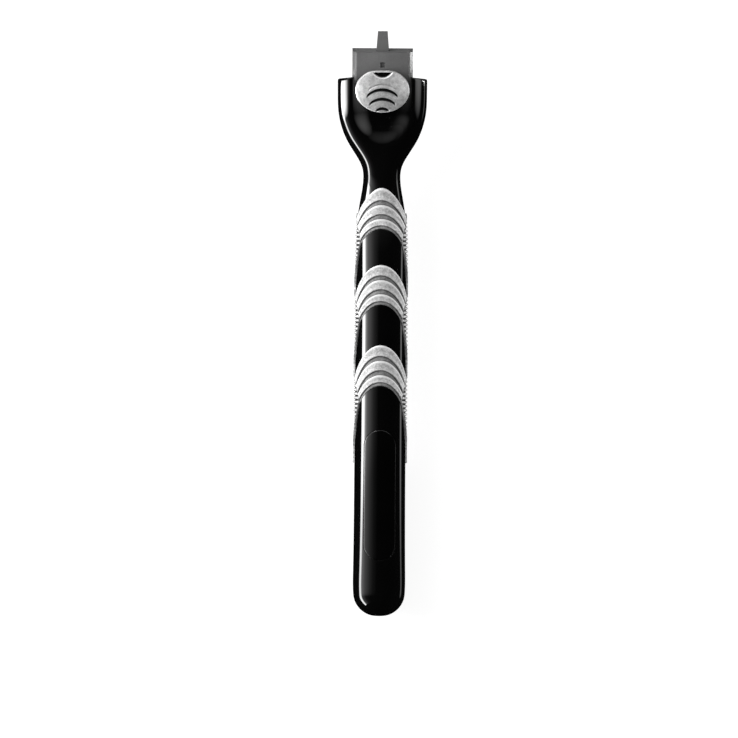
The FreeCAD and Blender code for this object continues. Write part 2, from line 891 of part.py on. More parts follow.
def coil_spring(name, start, end, turns):
    """A round-wire compression spring on the head's axis."""
    wire = "@spring_wire / 2 + @spring_seat"
    low = f"({start} + {wire})"
    length = f"({end} - {start} - 2 * ({wire}))"
    line = doc.addObject("Part::Helix", f"{name}_line")
    line.Placement = Placement(Vector(0, 0, 0), Rotation(Vector(1, 0, 0), -90))
    bind(
        line,
        Radius="@spring_radius",
        Height=length,
        Pitch=f"{length} / {turns}",
        Placement__Base__y=low,
    )
    ring = doc.addObject("Part::Circle", f"{name}_ring")
    bind(ring, Radius="@spring_wire / 2", Placement__Base__x="@spring_radius", Placement__Base__y=low)
    coil = doc.addObject("Part::Sweep", name)
    coil.Sections = [ring]
    coil.Spine = (line, [])
    coil.Solid = True
    coil.Frenet = True
    return node(in_head(coil), name)


def boss_box(name, widened, bottom):
    """The block that the cap is pressed onto, or the recess that it needs."""
    across = f"(@boss_width / 2 + {widened})"
    along = f"(@boss_length / 2 + {widened})"
    return span_box(
        name,
        (f"-{across}", across),
        (f"@button_centre - {along}", f"@button_centre + {along}"),
        (bottom, f"@boss_top + {widened}"),
    )


def button_slider():
    """The carrier under the button: a plate with two ejector arms and a tail hooked behind the spring."""
    half = "@slider_width / 2"
    plate = span_box(
        "slider_plate",
        (f"-{half}", half),
        ("@slider_start", "@slider_end"),
        ("@slider_bottom", "@slider_top"),
    )
    bridge = span_box(
        "slider_bridge",
        ("-@arm_outside", "@arm_outside"),
        ("@slider_start", "@bridge_end"),
        ("@slider_bottom", "@slider_top"),
    )
    arms = mirrored_boxes(
        "slider_arm",
        ("@arm_inside", "@arm_outside"),
        ("@slider_start", "@arm_end"),
        ("@arm_bottom", "@slider_top"),
    )
    boss = boss_box("slider_boss", "0", "@slider_bottom")
    strip = span_box(
        "slider_strip",
        ("-@strip_width / 2", "@strip_width / 2"),
        ("@hook_start", "@slider_start + 1"),
        ("@slider_bottom", "@strip_top"),
    )
    hook = span_box(
        "slider_hook",
        ("-@strip_width / 2", "@strip_width / 2"),
        ("@hook_start", "@hook_end"),
        ("@hook_bottom", "@strip_top"),
    )
    return node(in_head(fuse("slider", plate, bridge, *arms, boss, strip, hook)), "button_slider")


def cap_rib(order):
    """One curved groove across the thumb pad, with its crown towards the cartridge."""
    outer = doc.addObject("Part::Cylinder", f"{order}_rib_outer")
    inner = doc.addObject("Part::Cylinder", f"{order}_rib_inner")
    centre = f"(@button_centre + @{order}_rib_crown - @{order}_rib_radius)"
    for ring, reach in ((outer, "0"), (inner, "@rib_width")):
        bind(
            ring,
            Radius=f"@{order}_rib_radius - {reach}",
            Height=f"{FAR / 4}",
            Placement__Base__y=centre,
            Placement__Base__z="@button_top - @rib_depth",
        )
    keep = span_box(
        f"{order}_rib_length",
        (f"-@{order}_rib_half_width", f"@{order}_rib_half_width"),
        (centre, f"{centre} + @{order}_rib_radius"),
        ("0", f"{FAR / 2}"),
    )
    return common(f"{order}_rib", cut(f"{order}_rib_ring", outer, inner), keep)


def cap_dimple():
    """The crescent hollow behind the leading edge of the thumb pad, with a thin lip left in front of it."""
    edge = "(@button_centre + @button_flat)"
    hollow_round = doc.addObject("Part::Cylinder", "dimple_round")
    bind(
        hollow_round,
        Radius="@dimple_radius",
        Height=f"{FAR / 4}",
        Placement__Base__y=f"{edge} + @dimple_ahead",
        Placement__Base__z="@button_top - @dimple_depth",
    )
    lip = span_box(
        "dimple_lip",
        (f"-{FAR / 4}", f"{FAR / 4}"),
        (f"{edge} - @dimple_lip", f"{FAR / 4}"),
        ("0", f"{FAR / 2}"),
    )
    return cut("dimple", hollow_round, lip)


def button_cap():
    """The oval thumb pad, domed, with three curved grooves and a dimple in its leading edge."""
    body = doc.addObject("PartDesign::Body", "cap_blank")
    outline = button_outline(body, "cap_outline", 0.0, True)
    pad(body, "cap_pad", outline, "@slider_top", "@button_top")
    dome = doc.addObject("Part::Sphere", "cap_dome")
    bind(
        dome,
        Radius="@button_dome_radius",
        Placement__Base__y="@button_centre",
        Placement__Base__z="@button_top - @button_dome_radius",
    )
    domed = common("cap_domed", body, dome)
    ribs = [cap_rib(order) for order in ("first", "second", "third")]
    recess = boss_box("cap_recess", "@boss_gap", "0")
    return node(in_head(cut("cap", domed, cap_dimple(), recess, *ribs)), "button_cap")


tongue()
plunger()
spring_plug()
plug_rear = "(-@tongue_tail + @pocket_gap)"
plug_front = f"({plug_rear} + @plug_length)"
coil_spring("plunger_spring", plug_front, "@plunger_block_start", "@plunger_spring_turns")
button_slider()
button_cap()
coil_spring("button_spring", "@hook_end", plug_rear, "@button_spring_turns")


# ---------------------------------------------------------------- check and write


def check_and_write():
    """Stops on any failed object or bad shape, then writes one file for each sub-part."""
    doc.recompute()
    failed = [thing.Name for thing in doc.Objects if {"Invalid", "Error"} & set(thing.State)]
    if failed:
        raise RuntimeError(f"these objects failed: {failed}")
    os.makedirs("parts", exist_ok=True)
    for thing in NODES:
        shape = thing.Shape
        if shape.isNull() or not shape.isValid() or not shape.Solids:
            raise RuntimeError(f"{thing.Label} has no valid solid")
        shape.exportStep(os.path.join("parts", f"{thing.Label}.step"))
        print(f"{thing.Label}: {len(shape.Solids)} solid(s), {shape.Volume:.1f} mm3")


check_and_write()
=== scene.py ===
import json
import math

import bpy
import numpy as np
from mathutils import Matrix, Vector


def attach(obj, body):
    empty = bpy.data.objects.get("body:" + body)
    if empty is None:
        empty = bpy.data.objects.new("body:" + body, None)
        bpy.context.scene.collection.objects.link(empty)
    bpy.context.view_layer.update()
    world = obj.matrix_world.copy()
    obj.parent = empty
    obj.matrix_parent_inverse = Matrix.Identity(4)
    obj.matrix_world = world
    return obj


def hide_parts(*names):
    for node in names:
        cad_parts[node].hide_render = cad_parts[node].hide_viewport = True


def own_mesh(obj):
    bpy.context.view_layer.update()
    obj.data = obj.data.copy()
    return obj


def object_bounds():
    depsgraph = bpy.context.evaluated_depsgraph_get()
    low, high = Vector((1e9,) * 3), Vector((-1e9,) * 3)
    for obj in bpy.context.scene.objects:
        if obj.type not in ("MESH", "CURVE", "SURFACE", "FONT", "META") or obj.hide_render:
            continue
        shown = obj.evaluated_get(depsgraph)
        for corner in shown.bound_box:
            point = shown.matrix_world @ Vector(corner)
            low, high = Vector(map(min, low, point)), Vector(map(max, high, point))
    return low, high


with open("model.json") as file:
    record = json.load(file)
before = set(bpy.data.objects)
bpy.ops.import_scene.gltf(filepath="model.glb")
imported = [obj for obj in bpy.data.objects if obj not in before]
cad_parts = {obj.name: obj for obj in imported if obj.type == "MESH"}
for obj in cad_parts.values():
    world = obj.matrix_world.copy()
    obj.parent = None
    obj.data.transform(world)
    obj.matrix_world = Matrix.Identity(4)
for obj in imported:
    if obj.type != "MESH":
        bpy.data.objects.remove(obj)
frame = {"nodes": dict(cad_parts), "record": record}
cad_low, cad_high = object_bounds()

# Sizes are in millimetres, and MM turns them into the frame's metres. "along" is a distance from
# the tail, and "turn" an angle round the handle: 0 on the +X flank, a quarter turn at the crown and
# minus a quarter at the back. The head mechanism has its own frame (x, t, n): t runs along the
# cartridge tongue and n out of the button side.
MM = 0.001
LENGTH = (cad_high.y - cad_low.y) / MM
QUARTER = math.pi / 2

# Outline of the handle: distance from the tail, half width, heights of the back and of the front.
STATIONS = (
    (5.5, 5.97, 0.75, 12.1), (10.5, 6.02, 0.62, 12.32),
    (30.0, 5.9, 0.3, 12.85), (50.0, 5.88, 0.25, 13.15),
    (66.0, 5.87, 0.25, 13.2), (79.0, 5.84, 0.6, 13.12),
    (88.0, 5.72, 1.45, 12.85), (94.0, 5.27, 2.55, 12.65),
    (98.3, 4.55, 3.57, 12.85), (101.0, 4.28, 4.25, 13.3),
    (103.8, 4.66, 4.95, 14.0), (106.6, 6.16, 5.65, 14.9),
    (109.4, 7.9, 6.35, 15.85), (112.8, 9.35, 7.2, 16.95),
    (116.3, 10.12, 8.07, 18.0), (120.0, 10.3, 9.0, 19.0),
    (124.7, 10.33, 10.17, 20.17),
)
TAIL_RADIUS = STATIONS[0][0]
TAIL_SECTIONS = 6
# Exponents of the sections: the front and the back of the grip, and both sides of the head.
FRONT_POWER = 2.08
BACK_POWER = 3.3
HEAD_POWER = 3.1
POWER_START = 99.0
POWER_END = 116.0
# The largest share of the width or depth at which a height or a turn is looked up.
NEAR_EDGE = 0.999

# Head frame, from the cartridge dock at the tongue's end.
TONGUE_REACH = 6.55
dock = frame["record"]["mounts"][0]
TONGUE_LINE = Vector(dock["axis"])
HEAD_TILT = math.atan2(TONGUE_LINE.z, TONGUE_LINE.y)
HEAD_Y = dock["pos_m"][1] / MM - TONGUE_REACH * math.cos(HEAD_TILT)
HEAD_Z = dock["pos_m"][2] / MM - TONGUE_REACH * math.sin(HEAD_TILT)
HEAD_ALONG = HEAD_Y + LENGTH / 2
YOKE_OVERHANG = 0.4
YOKE_END = HEAD_ALONG + YOKE_OVERHANG
YOKE_CROWN_RADIUS = 83.0
YOKE_ROUNDING = 0.4


# ---------------- outer form


def smooth_step(share):
    share = np.clip(share, 0.0, 1.0)
    return share * share * (3 - 2 * share)


def natural_spline(knots, values):
    """A smooth curve through the values, as a function."""
    gaps = np.diff(knots)
    count = len(knots)
    system = np.eye(count)
    target = np.zeros(count)
    slopes = np.diff(values) / gaps
    for k in range(1, count - 1):
        system[k, k - 1 : k + 2] = gaps[k - 1], 2 * (gaps[k - 1] + gaps[k]), gaps[k]
        target[k] = 6 * (slopes[k] - slopes[k - 1])
    bends = np.linalg.solve(system, target)

    def curve(at):
        k = np.clip(np.searchsorted(knots, at) - 1, 0, count - 2)
        gap = gaps[k]
        before = (knots[k + 1] - at) / gap
        after = 1 - before
        straight = before * values[k] + after * values[k + 1]
        bulge = (before**3 - before) * bends[k] + (after**3 - after) * bends[k + 1]
        return straight + bulge * gap * gap / 6

    return curve


def form_curves():
    """Along, half width, middle height and half depth, each as a function of the place along the
    surface. The place is the distance from the tail, but on the round tail it follows the arc."""
    rows = []
    _, half_width, back, front = STATIONS[0]
    for k in range(TAIL_SECTIONS):
        turn = QUARTER * k / TAIL_SECTIONS
        inset = TAIL_RADIUS * (1 - math.sin(turn))
        place = TAIL_RADIUS * (turn - QUARTER) + TAIL_RADIUS
        along = TAIL_RADIUS * (1 - math.cos(turn))
        half_depth = (front - back) / 2 - inset
        rows.append((place, along, half_width - inset, (front + back) / 2, half_depth))
    for along, half_width, back, front in STATIONS:
        rows.append((along, along, half_width, (front + back) / 2, (front - back) / 2))
    table = np.array(rows)
    return [natural_spline(table[:, 0], table[:, k]) for k in range(1, table.shape[1])]


FORM = form_curves()
TAIL_PLACE = TAIL_RADIUS * (1 - QUARTER)


def section(place, outset):
    """Along, half width, middle, half depth and the front and back exponents at a place."""
    along, half_width, middle, half_depth = (curve(place) for curve in FORM)
    share = smooth_step((along - POWER_START) / (POWER_END - POWER_START))
    front = FRONT_POWER + (HEAD_POWER - FRONT_POWER) * share
    back = BACK_POWER + (HEAD_POWER - BACK_POWER) * share
    return along, half_width + outset, middle, half_depth + outset, front, back


def form(place, turn, outset=0.0):
    """Points of the outer form, or of a form this far outside it."""
    along, half_width, middle, half_depth, front, back = section(place, outset)
    cosine, sine = np.cos(turn), np.sin(turn)
    power = np.where(sine >= 0, front, back)
    reach = (np.abs(cosine) ** power + np.abs(sine) ** power) ** (-1 / power)
    x = half_width * reach * cosine
    z = middle + half_depth * reach * sine
    return np.stack(np.broadcast_arrays(x, along - LENGTH / 2, z), axis=-1)


def turn_at_height(place, height, outset=0.0):
    """The turn on the +X side at which the form has this height."""
    _, _, middle, half_depth, front, back = section(place, outset)
    rise = np.clip((height - middle) / half_depth, -NEAR_EDGE, NEAR_EDGE)
    power = np.where(rise >= 0, front, back)
    return np.arctan2(rise, (1 - np.abs(rise) ** power) ** (1 / power))


def front_height(x, place, outset=0.0):
    """Height of the front side above a point of the plan."""
    _, half_width, middle, half_depth, front, _ = section(place, outset)
    share = np.clip(np.abs(x) / half_width, 0.0, NEAR_EDGE)
    return middle + half_depth * (1 - share**front) ** (1 / front)


def to_head(points):
    """From the row frame, in millimetres, to the head frame."""
    y, z = points[..., 1] - HEAD_Y, points[..., 2] - HEAD_Z
    cosine, sine = math.cos(HEAD_TILT), math.sin(HEAD_TILT)
    return np.stack([points[..., 0], y * cosine + z * sine, z * cosine - y * sine], axis=-1)


def from_head(points):
    """From the head frame to the row frame, in millimetres."""
    t, n = points[..., 1], points[..., 2]
    cosine, sine = math.cos(HEAD_TILT), math.sin(HEAD_TILT)
    y, z = HEAD_Y + t * cosine - n * sine, HEAD_Z + t * sine + n * cosine
    return np.stack([points[..., 0], y, z], axis=-1)


# ---------------- mesh helpers


def grid_faces(rows, columns, closed, first=0):
    """Quads of a grid of points. A closed grid joins its last column to its first."""
    numbers = np.arange(rows * columns).reshape(rows, columns) + first
    if closed:
        numbers = np.concatenate([numbers, numbers[:, :1]], axis=1)
    low, high = numbers[:-1], numbers[1:]
    quads = np.stack([low[:, :-1], low[:, 1:], high[:, 1:], high[:, :-1]], axis=-1)
    return quads.reshape(-1, 4)


def make_object(name, points, faces, values=None):
    """A mesh object from points in millimetres. values go into the attribute named shade."""
    mesh = bpy.data.meshes.new(name)
    mesh.from_pydata((np.asarray(points) * MM).tolist(), [], [list(map(int, f)) for f in faces])
    if values is not None:
        attribute = mesh.attributes.new("shade", "FLOAT", "POINT")
        attribute.data.foreach_set("value", np.asarray(values, np.float32))
    mesh.update()
    thing = bpy.data.objects.new(name, mesh)
    bpy.context.scene.collection.objects.link(thing)
    return thing


def tube(name, rows, values=None):
    """A closed skin through rings of points, each with an even count, closed by strips of quads."""
    count, columns = rows.shape[:2]
    faces = grid_faces(count, columns, True).tolist()
    for start, turned in ((0, True), ((count - 1) * columns, False)):
        for k in range(columns // 2):
            across = start + (columns - k - 1), start + (columns - k) % columns
            strip = list(dict.fromkeys([start + k, start + k + 1, *across]))
            faces.append(strip[::-1] if turned else strip)
    return make_object(name, rows.reshape(-1, 3), faces, values)


def slab(name, top, bottom, values=None):
    """A closed piece between two grids of the same shape."""
    rows, columns = top.shape[:2]
    count = rows * columns
    upper = grid_faces(rows, columns, False)
    lower = grid_faces(rows, columns, False, count)[:, ::-1]
    numbers = np.arange(count).reshape(rows, columns)
    rim = np.concatenate([numbers[0, :], numbers[1:, -1], numbers[-1, -2::-1], numbers[-2:0:-1, 0]])
    after = np.roll(rim, -1)
    sides = np.stack([after, rim, rim + count, after + count], axis=-1)
    faces = np.concatenate([upper, lower, sides])
    points = np.concatenate([top.reshape(-1, 3), bottom.reshape(-1, 3)])
    shades = None if values is None else np.concatenate([values.ravel(), np.zeros(count)])
    return outward(make_object(name, points, faces, shades))


def ring_piece(name, rings, values=None):
    """A closed piece from rings of points, with a flat face in its first and last ring."""
    count, columns = rings.shape[:2]
    faces = grid_faces(count, columns, True).tolist()
    faces.append(list(range(columns))[::-1])
    faces.append(list(range((count - 1) * columns, count * columns)))
    return outward(make_object(name, rings.reshape(-1, 3), faces, values))


def outward(thing):
    """Turns the faces so that the piece encloses a positive volume."""
    mesh = thing.data
    mesh.calc_loop_triangles()
    points = np.zeros(len(mesh.vertices) * 3)
    mesh.vertices.foreach_get("co", points)
    points = points.reshape(-1, 3)
    corners = np.zeros(len(mesh.loop_triangles) * 3, np.int32)
    mesh.loop_triangles.foreach_get("vertices", corners)
    a, b, c = points[corners.reshape(-1, 3)].transpose(1, 0, 2)
    if np.einsum("ij,ij->", a, np.cross(b, c)) < 0:
        mesh.flip_normals()
    return thing


def prism(name, outline, low, high, place=lambda points: points):
    """A plan outline carried from a low to a high height."""
    outline = np.asarray(outline, float)
    count = len(outline)
    rings = [np.column_stack([outline, np.full(count, height)]) for height in (low, high)]
    sides = grid_faces(2, count, True).tolist()
    faces = sides + [list(range(count))[::-1], list(range(count, 2 * count))]
    return outward(make_object(name, place(np.concatenate(rings)), faces))


def head_box(name, x, t, n):
    """A box in the head frame; each side is a low and a high value."""
    outline = [(x[0], t[0]), (x[1], t[0]), (x[1], t[1]), (x[0], t[1])]
    return prism(name, outline, *n, place=from_head)


def carve(thing, *cutters, keep=None):
    """Cuts off what lies outside keep, then cuts the cutters away, and removes both. Every mesh has
    to be closed, or nothing is cut."""
    tools = [keep, *cutters] if keep else cutters
    for tool in tools:
        modifier = thing.modifiers.new(tool.name, "BOOLEAN")
        modifier.operation = "INTERSECT" if tool == keep else "DIFFERENCE"
        modifier.object = tool
        modifier.solver = "MANIFOLD"
    graph = bpy.context.evaluated_depsgraph_get()
    result = bpy.data.meshes.new_from_object(thing.evaluated_get(graph))
    thing.modifiers.clear()
    thing.data = result
    for tool in tools:
        bpy.data.objects.remove(tool)
    return thing


SHARP_ANGLE = math.radians(32)


def finish_piece(thing, body, slot, *nodes):
    """Shades a new piece, and says what it rides on, its finish and the nodes it stands for."""
    mesh = thing.data
    mesh.materials.clear()
    mesh.materials.append(MATERIALS[slot])
    mesh.polygons.foreach_set("use_smooth", [True] * len(mesh.polygons))
    mesh.polygons.foreach_set("material_index", [0] * len(mesh.polygons))
    mesh.set_sharp_from_angle(angle=SHARP_ANGLE)
    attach(thing, body)
    if nodes:
        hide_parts(*nodes)
    return thing


# ---------------- materials

# Noise scales count features per metre, and a ramp's stops are pairs of place and grey.
BEVEL_SAMPLES = 6
# The tongue's side bevels lie beyond this half width, and are polished to this roughness.
BEVEL_INSIDE = 6.35
POLISH = 0.12


def rgba(color):
    """A colour with alpha, from a grey or a colour."""
    return (color, color, color, 1) if isinstance(color, (int, float)) else (*color, 1)


def new_material(name, color, roughness, **sockets):
    """A principled material; the other sockets are written with _ for a space."""
    made = bpy.data.materials.new(name)
    made.use_nodes = True
    shader = made.node_tree.nodes["Principled BSDF"]
    shader.inputs["Base Color"].default_value = rgba(color)
    shader.inputs["Roughness"].default_value = roughness
    for socket, value in sockets.items():
        shader.inputs[socket.replace("_", " ")].default_value = value
    return made


def add_node(made, kind, inputs=None, **settings):
    """A node with settings. Inputs are values, or sockets of other nodes."""
    new = made.node_tree.nodes.new(kind)
    for name, value in settings.items():
        setattr(new, name, value)
    for name, value in (inputs or {}).items():
        if isinstance(value, bpy.types.NodeSocket):
            made.node_tree.links.new(value, new.inputs[name])
        else:
            new.inputs[name].default_value = value
    return new


def object_place(made):
    return add_node(made, "ShaderNodeTexCoord").outputs["Object"]


def noise(made, scale, detail=3.0, roughness=0.5):
    place = object_place(made)
    inputs = {"Vector": place, "Scale": scale, "Detail": detail, "Roughness": roughness}
    return add_node(made, "ShaderNodeTexNoise", inputs).outputs["Fac"]


def ramp(made, value, *stops):
    """A colour ramp."""
    found = add_node(made, "ShaderNodeValToRGB", {"Fac": value})
    elements = found.color_ramp.elements
    while len(elements) < len(stops):
        elements.new(0.5)
    for element, (place, color) in zip(elements, stops):
        element.position = place
        element.color = rgba(color)
    return found.outputs["Color"]


def mix(made, share, first, second, blend="MIX"):
    found = add_node(made, "ShaderNodeMix", data_type="RGBA", blend_type=blend)
    for socket, value in ((0, share), (6, first), (7, second)):
        if isinstance(value, bpy.types.NodeSocket):
            made.node_tree.links.new(value, found.inputs[socket])
        else:
            found.inputs[socket].default_value = value if socket == 0 else rgba(value)
    return found.outputs[2]


def shader_input(made, name, socket):
    made.node_tree.links.new(socket, made.node_tree.nodes["Principled BSDF"].inputs[name])


def bumps(made, *layers, rounding):
    """Bump layers, each a height, a distance in millimetres and a strength, over edges that the
    shader rounds."""
    bevel = add_node(made, "ShaderNodeBevel", {"Radius": rounding * MM}, samples=BEVEL_SAMPLES)
    normal = bevel.outputs["Normal"]
    for height, distance, strength in layers:
        inputs = {"Height": height, "Distance": distance * MM, "Strength": strength}
        inputs["Normal"] = normal
        normal = add_node(made, "ShaderNodeBump", inputs).outputs["Normal"]
    shader_input(made, "Normal", normal)


def shaded(made, color, bright, dark):
    """The colour with painted shade and painted highlight: turned towards dark where the mesh's
    shade is above 0 (painted shade) and towards bright where it is below (painted highlight)."""
    shade = add_node(made, "ShaderNodeAttribute", attribute_name="shade").outputs["Fac"]
    below = add_node(made, "ShaderNodeMath", {0: shade, 1: -1.0}, operation="MULTIPLY").outputs[0]
    return mix(made, shade, mix(made, below, color, bright), dark)


def gloss_black(name, grey, fine):
    """Polished moulded plastic: a faint flow ripple, handling haze and fine dust-like roughness."""
    made = new_material(name, grey, 0.06, Coat_Weight=1.0, Coat_Roughness=0.03, IOR=1.5)
    haze = noise(made, 160.0, 5.0, 0.6)
    shader_input(made, "Roughness", ramp(made, haze, (0.35, 0.05), (0.75, 0.05 + fine)))
    tint = ramp(made, noise(made, 45.0, 2.0), (0.3, grey * 0.7), (0.7, grey * 1.3))
    shader_input(made, "Base Color", tint)
    bumps(made, (noise(made, 220.0, 2.0), 0.02, 0.004), rounding=0.08)
    return made


def grip_rubber():
    """Satin soft rubber: mottled light grey with a fine grain, with painted shade in its grooves
    and painted highlights along its ribs' upper edges.
    """
    made = new_material("grip_rubber", 0.6, 0.55, Specular_IOR_Level=0.35)
    clouds = ramp(made, noise(made, 900.0, 6.0, 0.8), (0.34, 0.4), (0.66, 0.9))
    specks = ramp(made, noise(made, 2600.0, 2.0, 0.5), (0.35, 0.68), (0.65, 1.0))
    light = mix(made, 1.0, clouds, specks, "MULTIPLY")
    # Painted highlight towards 0.92 and painted shade towards 0.01, from the mesh's shade.
    shader_input(made, "Base Color", shaded(made, light, 0.92, 0.01))
    shader_input(made, "Roughness", ramp(made, noise(made, 900.0, 3.0), (0.3, 0.45), (0.7, 0.65)))
    bumps(
        made,
        (noise(made, 1500.0, 4.0, 0.6), 0.05, 0.25),
        (noise(made, 6000.0, 2.0, 0.5), 0.02, 0.3),
        rounding=0.08,
    )
    return made


def matte_plastic(name, dark, light, roughness, polished=None):
    """Moulded engineering plastic with a fine spark-eroded grain and a slow drift of tone. Beyond
    the polished half width it is smooth."""
    made = new_material(name, dark, roughness, Specular_IOR_Level=0.3)
    drift = ramp(made, noise(made, 120.0, 4.0, 0.6), (0.3, dark), (0.7, light))
    specks = ramp(made, noise(made, 3800.0, 2.0), (0.3, 0.86), (0.7, 1.0))
    shader_input(made, "Base Color", mix(made, 1.0, drift, specks, "MULTIPLY"))
    grain = ramp(made, noise(made, 1200.0, 3.0), (0.3, roughness - 0.08), (0.7, roughness + 0.08))
    if polished:
        x = add_node(made, "ShaderNodeSeparateXYZ", {0: object_place(made)}).outputs["X"]
        reach = add_node(made, "ShaderNodeMath", {0: x}, operation="ABSOLUTE").outputs[0]
        limit = {0: reach, 1: polished * MM}
        beyond = add_node(made, "ShaderNodeMath", limit, operation="GREATER_THAN").outputs[0]
        grain = mix(made, beyond, grain, POLISH)
    shader_input(made, "Roughness", grain)
    bumps(made, (noise(made, 4200.0, 3.0, 0.6), 0.03, 0.25), rounding=0.1)
    return made


def button_silver():
    """Satin silver with a cloudy sparkle, with painted shade that turns it black in the deep parts
    of its recesses and grey on the slopes below its ribs, and painted highlights on its crests,
    collar and rim.
    """
    made = new_material("button_silver", 0.6, 0.38, Metallic=0.45)
    clouds = ramp(made, noise(made, 800.0, 6.0, 0.8), (0.34, 0.46), (0.66, 0.9))
    sparkle = ramp(made, noise(made, 5200.0, 2.0), (0.35, 0.82), (0.65, 1.0))
    light = mix(made, 1.0, clouds, sparkle, "MULTIPLY")
    # Painted highlight towards 0.95 and painted shade towards black, from the mesh's shade; the
    # painted shade also makes those places rough.
    shader_input(made, "Base Color", shaded(made, light, 0.95, 0.003))
    satin = ramp(made, noise(made, 2200.0, 3.0), (0.3, 0.3), (0.7, 0.46))
    shader_input(made, "Roughness", shaded(made, satin, 0.38, 0.95))
    bumps(made, (noise(made, 4500.0, 3.0, 0.6), 0.03, 0.2), rounding=0.06)
    return made


def metal(name, dark, light, roughness, stretch):
    """Bare metal with a grain stretched along its length."""
    made = new_material(name, light, roughness, Metallic=1.0)
    inputs = {"Vector": object_place(made), "Scale": (1.0, stretch, 1.0)}
    place = add_node(made, "ShaderNodeMapping", inputs).outputs["Vector"]
    inputs = {"Vector": place, "Scale": 2400.0, "Detail": 4.0}
    grain = add_node(made, "ShaderNodeTexNoise", inputs).outputs["Fac"]
    shader_input(made, "Base Color", ramp(made, grain, (0.3, dark), (0.7, light)))
    satin = ramp(made, grain, (0.3, roughness - 0.1), (0.7, roughness + 0.1))
    shader_input(made, "Roughness", satin)
    bumps(made, (grain, 0.03, 0.3), rounding=0.05)
    return made


MATERIALS = {
    "shell_black": gloss_black("shell_black", 0.002, 0.03),
    "inlay_black": gloss_black("inlay_black", 0.0015, 0.02),
    "grip_rubber": grip_rubber(),
    "tongue_grey": matte_plastic("tongue_grey", 0.13, 0.17, 0.55, BEVEL_INSIDE),
    "slider_black": matte_plastic("slider_black", 0.012, 0.02, 0.45),
    "button_silver": button_silver(),
    "spring_steel": metal("spring_steel", 0.35, 0.62, 0.28, 8.0),
    "core_metal": metal("core_metal", 0.28, 0.5, 0.5, 1.0),
}


# ---------------- parting and hollows

PARTING_HEIGHT = 5.2
PARTING_GAP = 0.04
PARTING_BEND = 90.0
PARTING_DROP = 0.6
PARTING_CURVE = (78.0, 106.0, 0.5)
FAR = 40.0


def parting_height(along):
    """Height of the line where the two shells meet: level in the grip, then up with the head."""
    slope = math.tan(HEAD_TILT)
    head_height = HEAD_Z - PARTING_DROP / math.cos(HEAD_TILT)
    bend = HEAD_ALONG - (head_height - PARTING_HEIGHT) / slope
    reach = PARTING_BEND * math.tan(HEAD_TILT / 2)
    past = np.clip(along - (bend - reach), 0.0, reach * (1 + math.cos(HEAD_TILT)))
    curved = PARTING_HEIGHT + PARTING_BEND - np.sqrt(PARTING_BEND**2 - past**2)
    straight = PARTING_HEIGHT + (along - bend) * slope
    return np.where(along < bend + reach * math.cos(HEAD_TILT), curved, straight)


def parting_block(name, side):
    """Everything in front of the parting (side 1) or behind it (side -1)."""
    along = np.concatenate([[-FAR], np.arange(*PARTING_CURVE), [LENGTH + FAR]])
    heights = parting_height(along) + side * PARTING_GAP / 2
    outline = [(a - LENGTH / 2, h) for a, h in zip(along, heights)]
    outline += [(end - LENGTH / 2, side * 2 * FAR) for end in (along[-1], along[0])]
    return prism(name, outline, -FAR, FAR, place=lambda points: points[:, [2, 0, 1]])


# The head's pieces and their room, in the head frame: half widths in x, starts and ends in t, and
# bottoms and tops in n. LUG is a half width, start, end and bottom.
BUTTON_CENTRE = -1.6
BUTTON_HALF_WIDTH = 6.25
BUTTON_HALF_LENGTH = 5.2
BUTTON_FLAT = 4.93
BUTTON_TOP = 6.95
BUTTON_DOME = 19.0
BUTTON_GAP = 0.25
CLEARANCE = 0.2
MOUTH_HALF = 8.5
MOUTH_BOTTOM = -2.2
MOUTH_TOP = 3.4
SLIDER_START = -8.5
SLIDER_BOTTOM = 2.2
SLIDER_TOP = 3.3
STRIP_HALF = 1.6
STRIP_TOP = 2.8
HOOK_START = -18.0
HOOK_BOTTOM = -1.3
TONGUE_HALF = 7.0
TONGUE_TAIL = 11.0
TONGUE_THICK = 2.1
LUG = (3.05, -10.05, -7.95, -2.95)
NOTCH_POINTS = 97
# The core's half width, its start and end from the tail, and its lowest and highest height.
CORE = (3.0, 9.9, 93.1, 4.8, 9.9)


def head_hollows():
    """Cutters for the room of the tongue, the slider and the springs."""
    strip = STRIP_HALF + CLEARANCE
    strip_top = STRIP_TOP + CLEARANCE
    rear = HOOK_START - CLEARANCE
    tongue = TONGUE_HALF + CLEARANCE / 4
    tail = -TONGUE_TAIL - CLEARANCE / 2
    lug, lug_start, lug_end, lug_bottom = LUG
    rooms = (
        (MOUTH_HALF, (SLIDER_START - CLEARANCE, FAR), (MOUTH_BOTTOM, MOUTH_TOP)),
        (tongue, (tail, 0.0), (MOUTH_BOTTOM, SLIDER_BOTTOM)),
        (strip, (rear, 0.0), (TONGUE_THICK, strip_top)),
        (strip, (rear, -TONGUE_TAIL), (HOOK_BOTTOM - CLEARANCE, strip_top)),
        (lug, (lug_start, lug_end), (lug_bottom, 0.0)),
    )
    return [head_box(f"hollow_{k}", (-half, half), t, n) for k, (half, t, n) in enumerate(rooms)]


def core_pocket():
    half, start, end, low, high = CORE
    outline = [(-half, start), (half, start), (half, end), (-half, end)]
    return prism("core_pocket", [(x, y - LENGTH / 2) for x, y in outline], low, high)


def button_notch():
    """The opening round the button, open towards the cartridge."""
    half_x, half_t = BUTTON_HALF_WIDTH + BUTTON_GAP, BUTTON_HALF_LENGTH + BUTTON_GAP
    turns = np.linspace(math.pi, 2 * math.pi, NOTCH_POINTS)
    outline = [
        (half_x * math.cos(turn), BUTTON_CENTRE + half_t * math.sin(turn)) for turn in turns
    ]
    outline += [(outline[-1][0], FAR), (outline[0][0], FAR)]
    return prism("button_notch", outline, MOUTH_TOP - CLEARANCE, FAR, place=from_head)


# ---------------- shells

SCOOP_FLOOR = 3.9
SCOOP_RISE = 1.9
SCOOP_HALF = 7.2
SCOOP_CENTRE = -7.3
SCOOP_BLEND = 1.5
SCOOP_END = -17.0
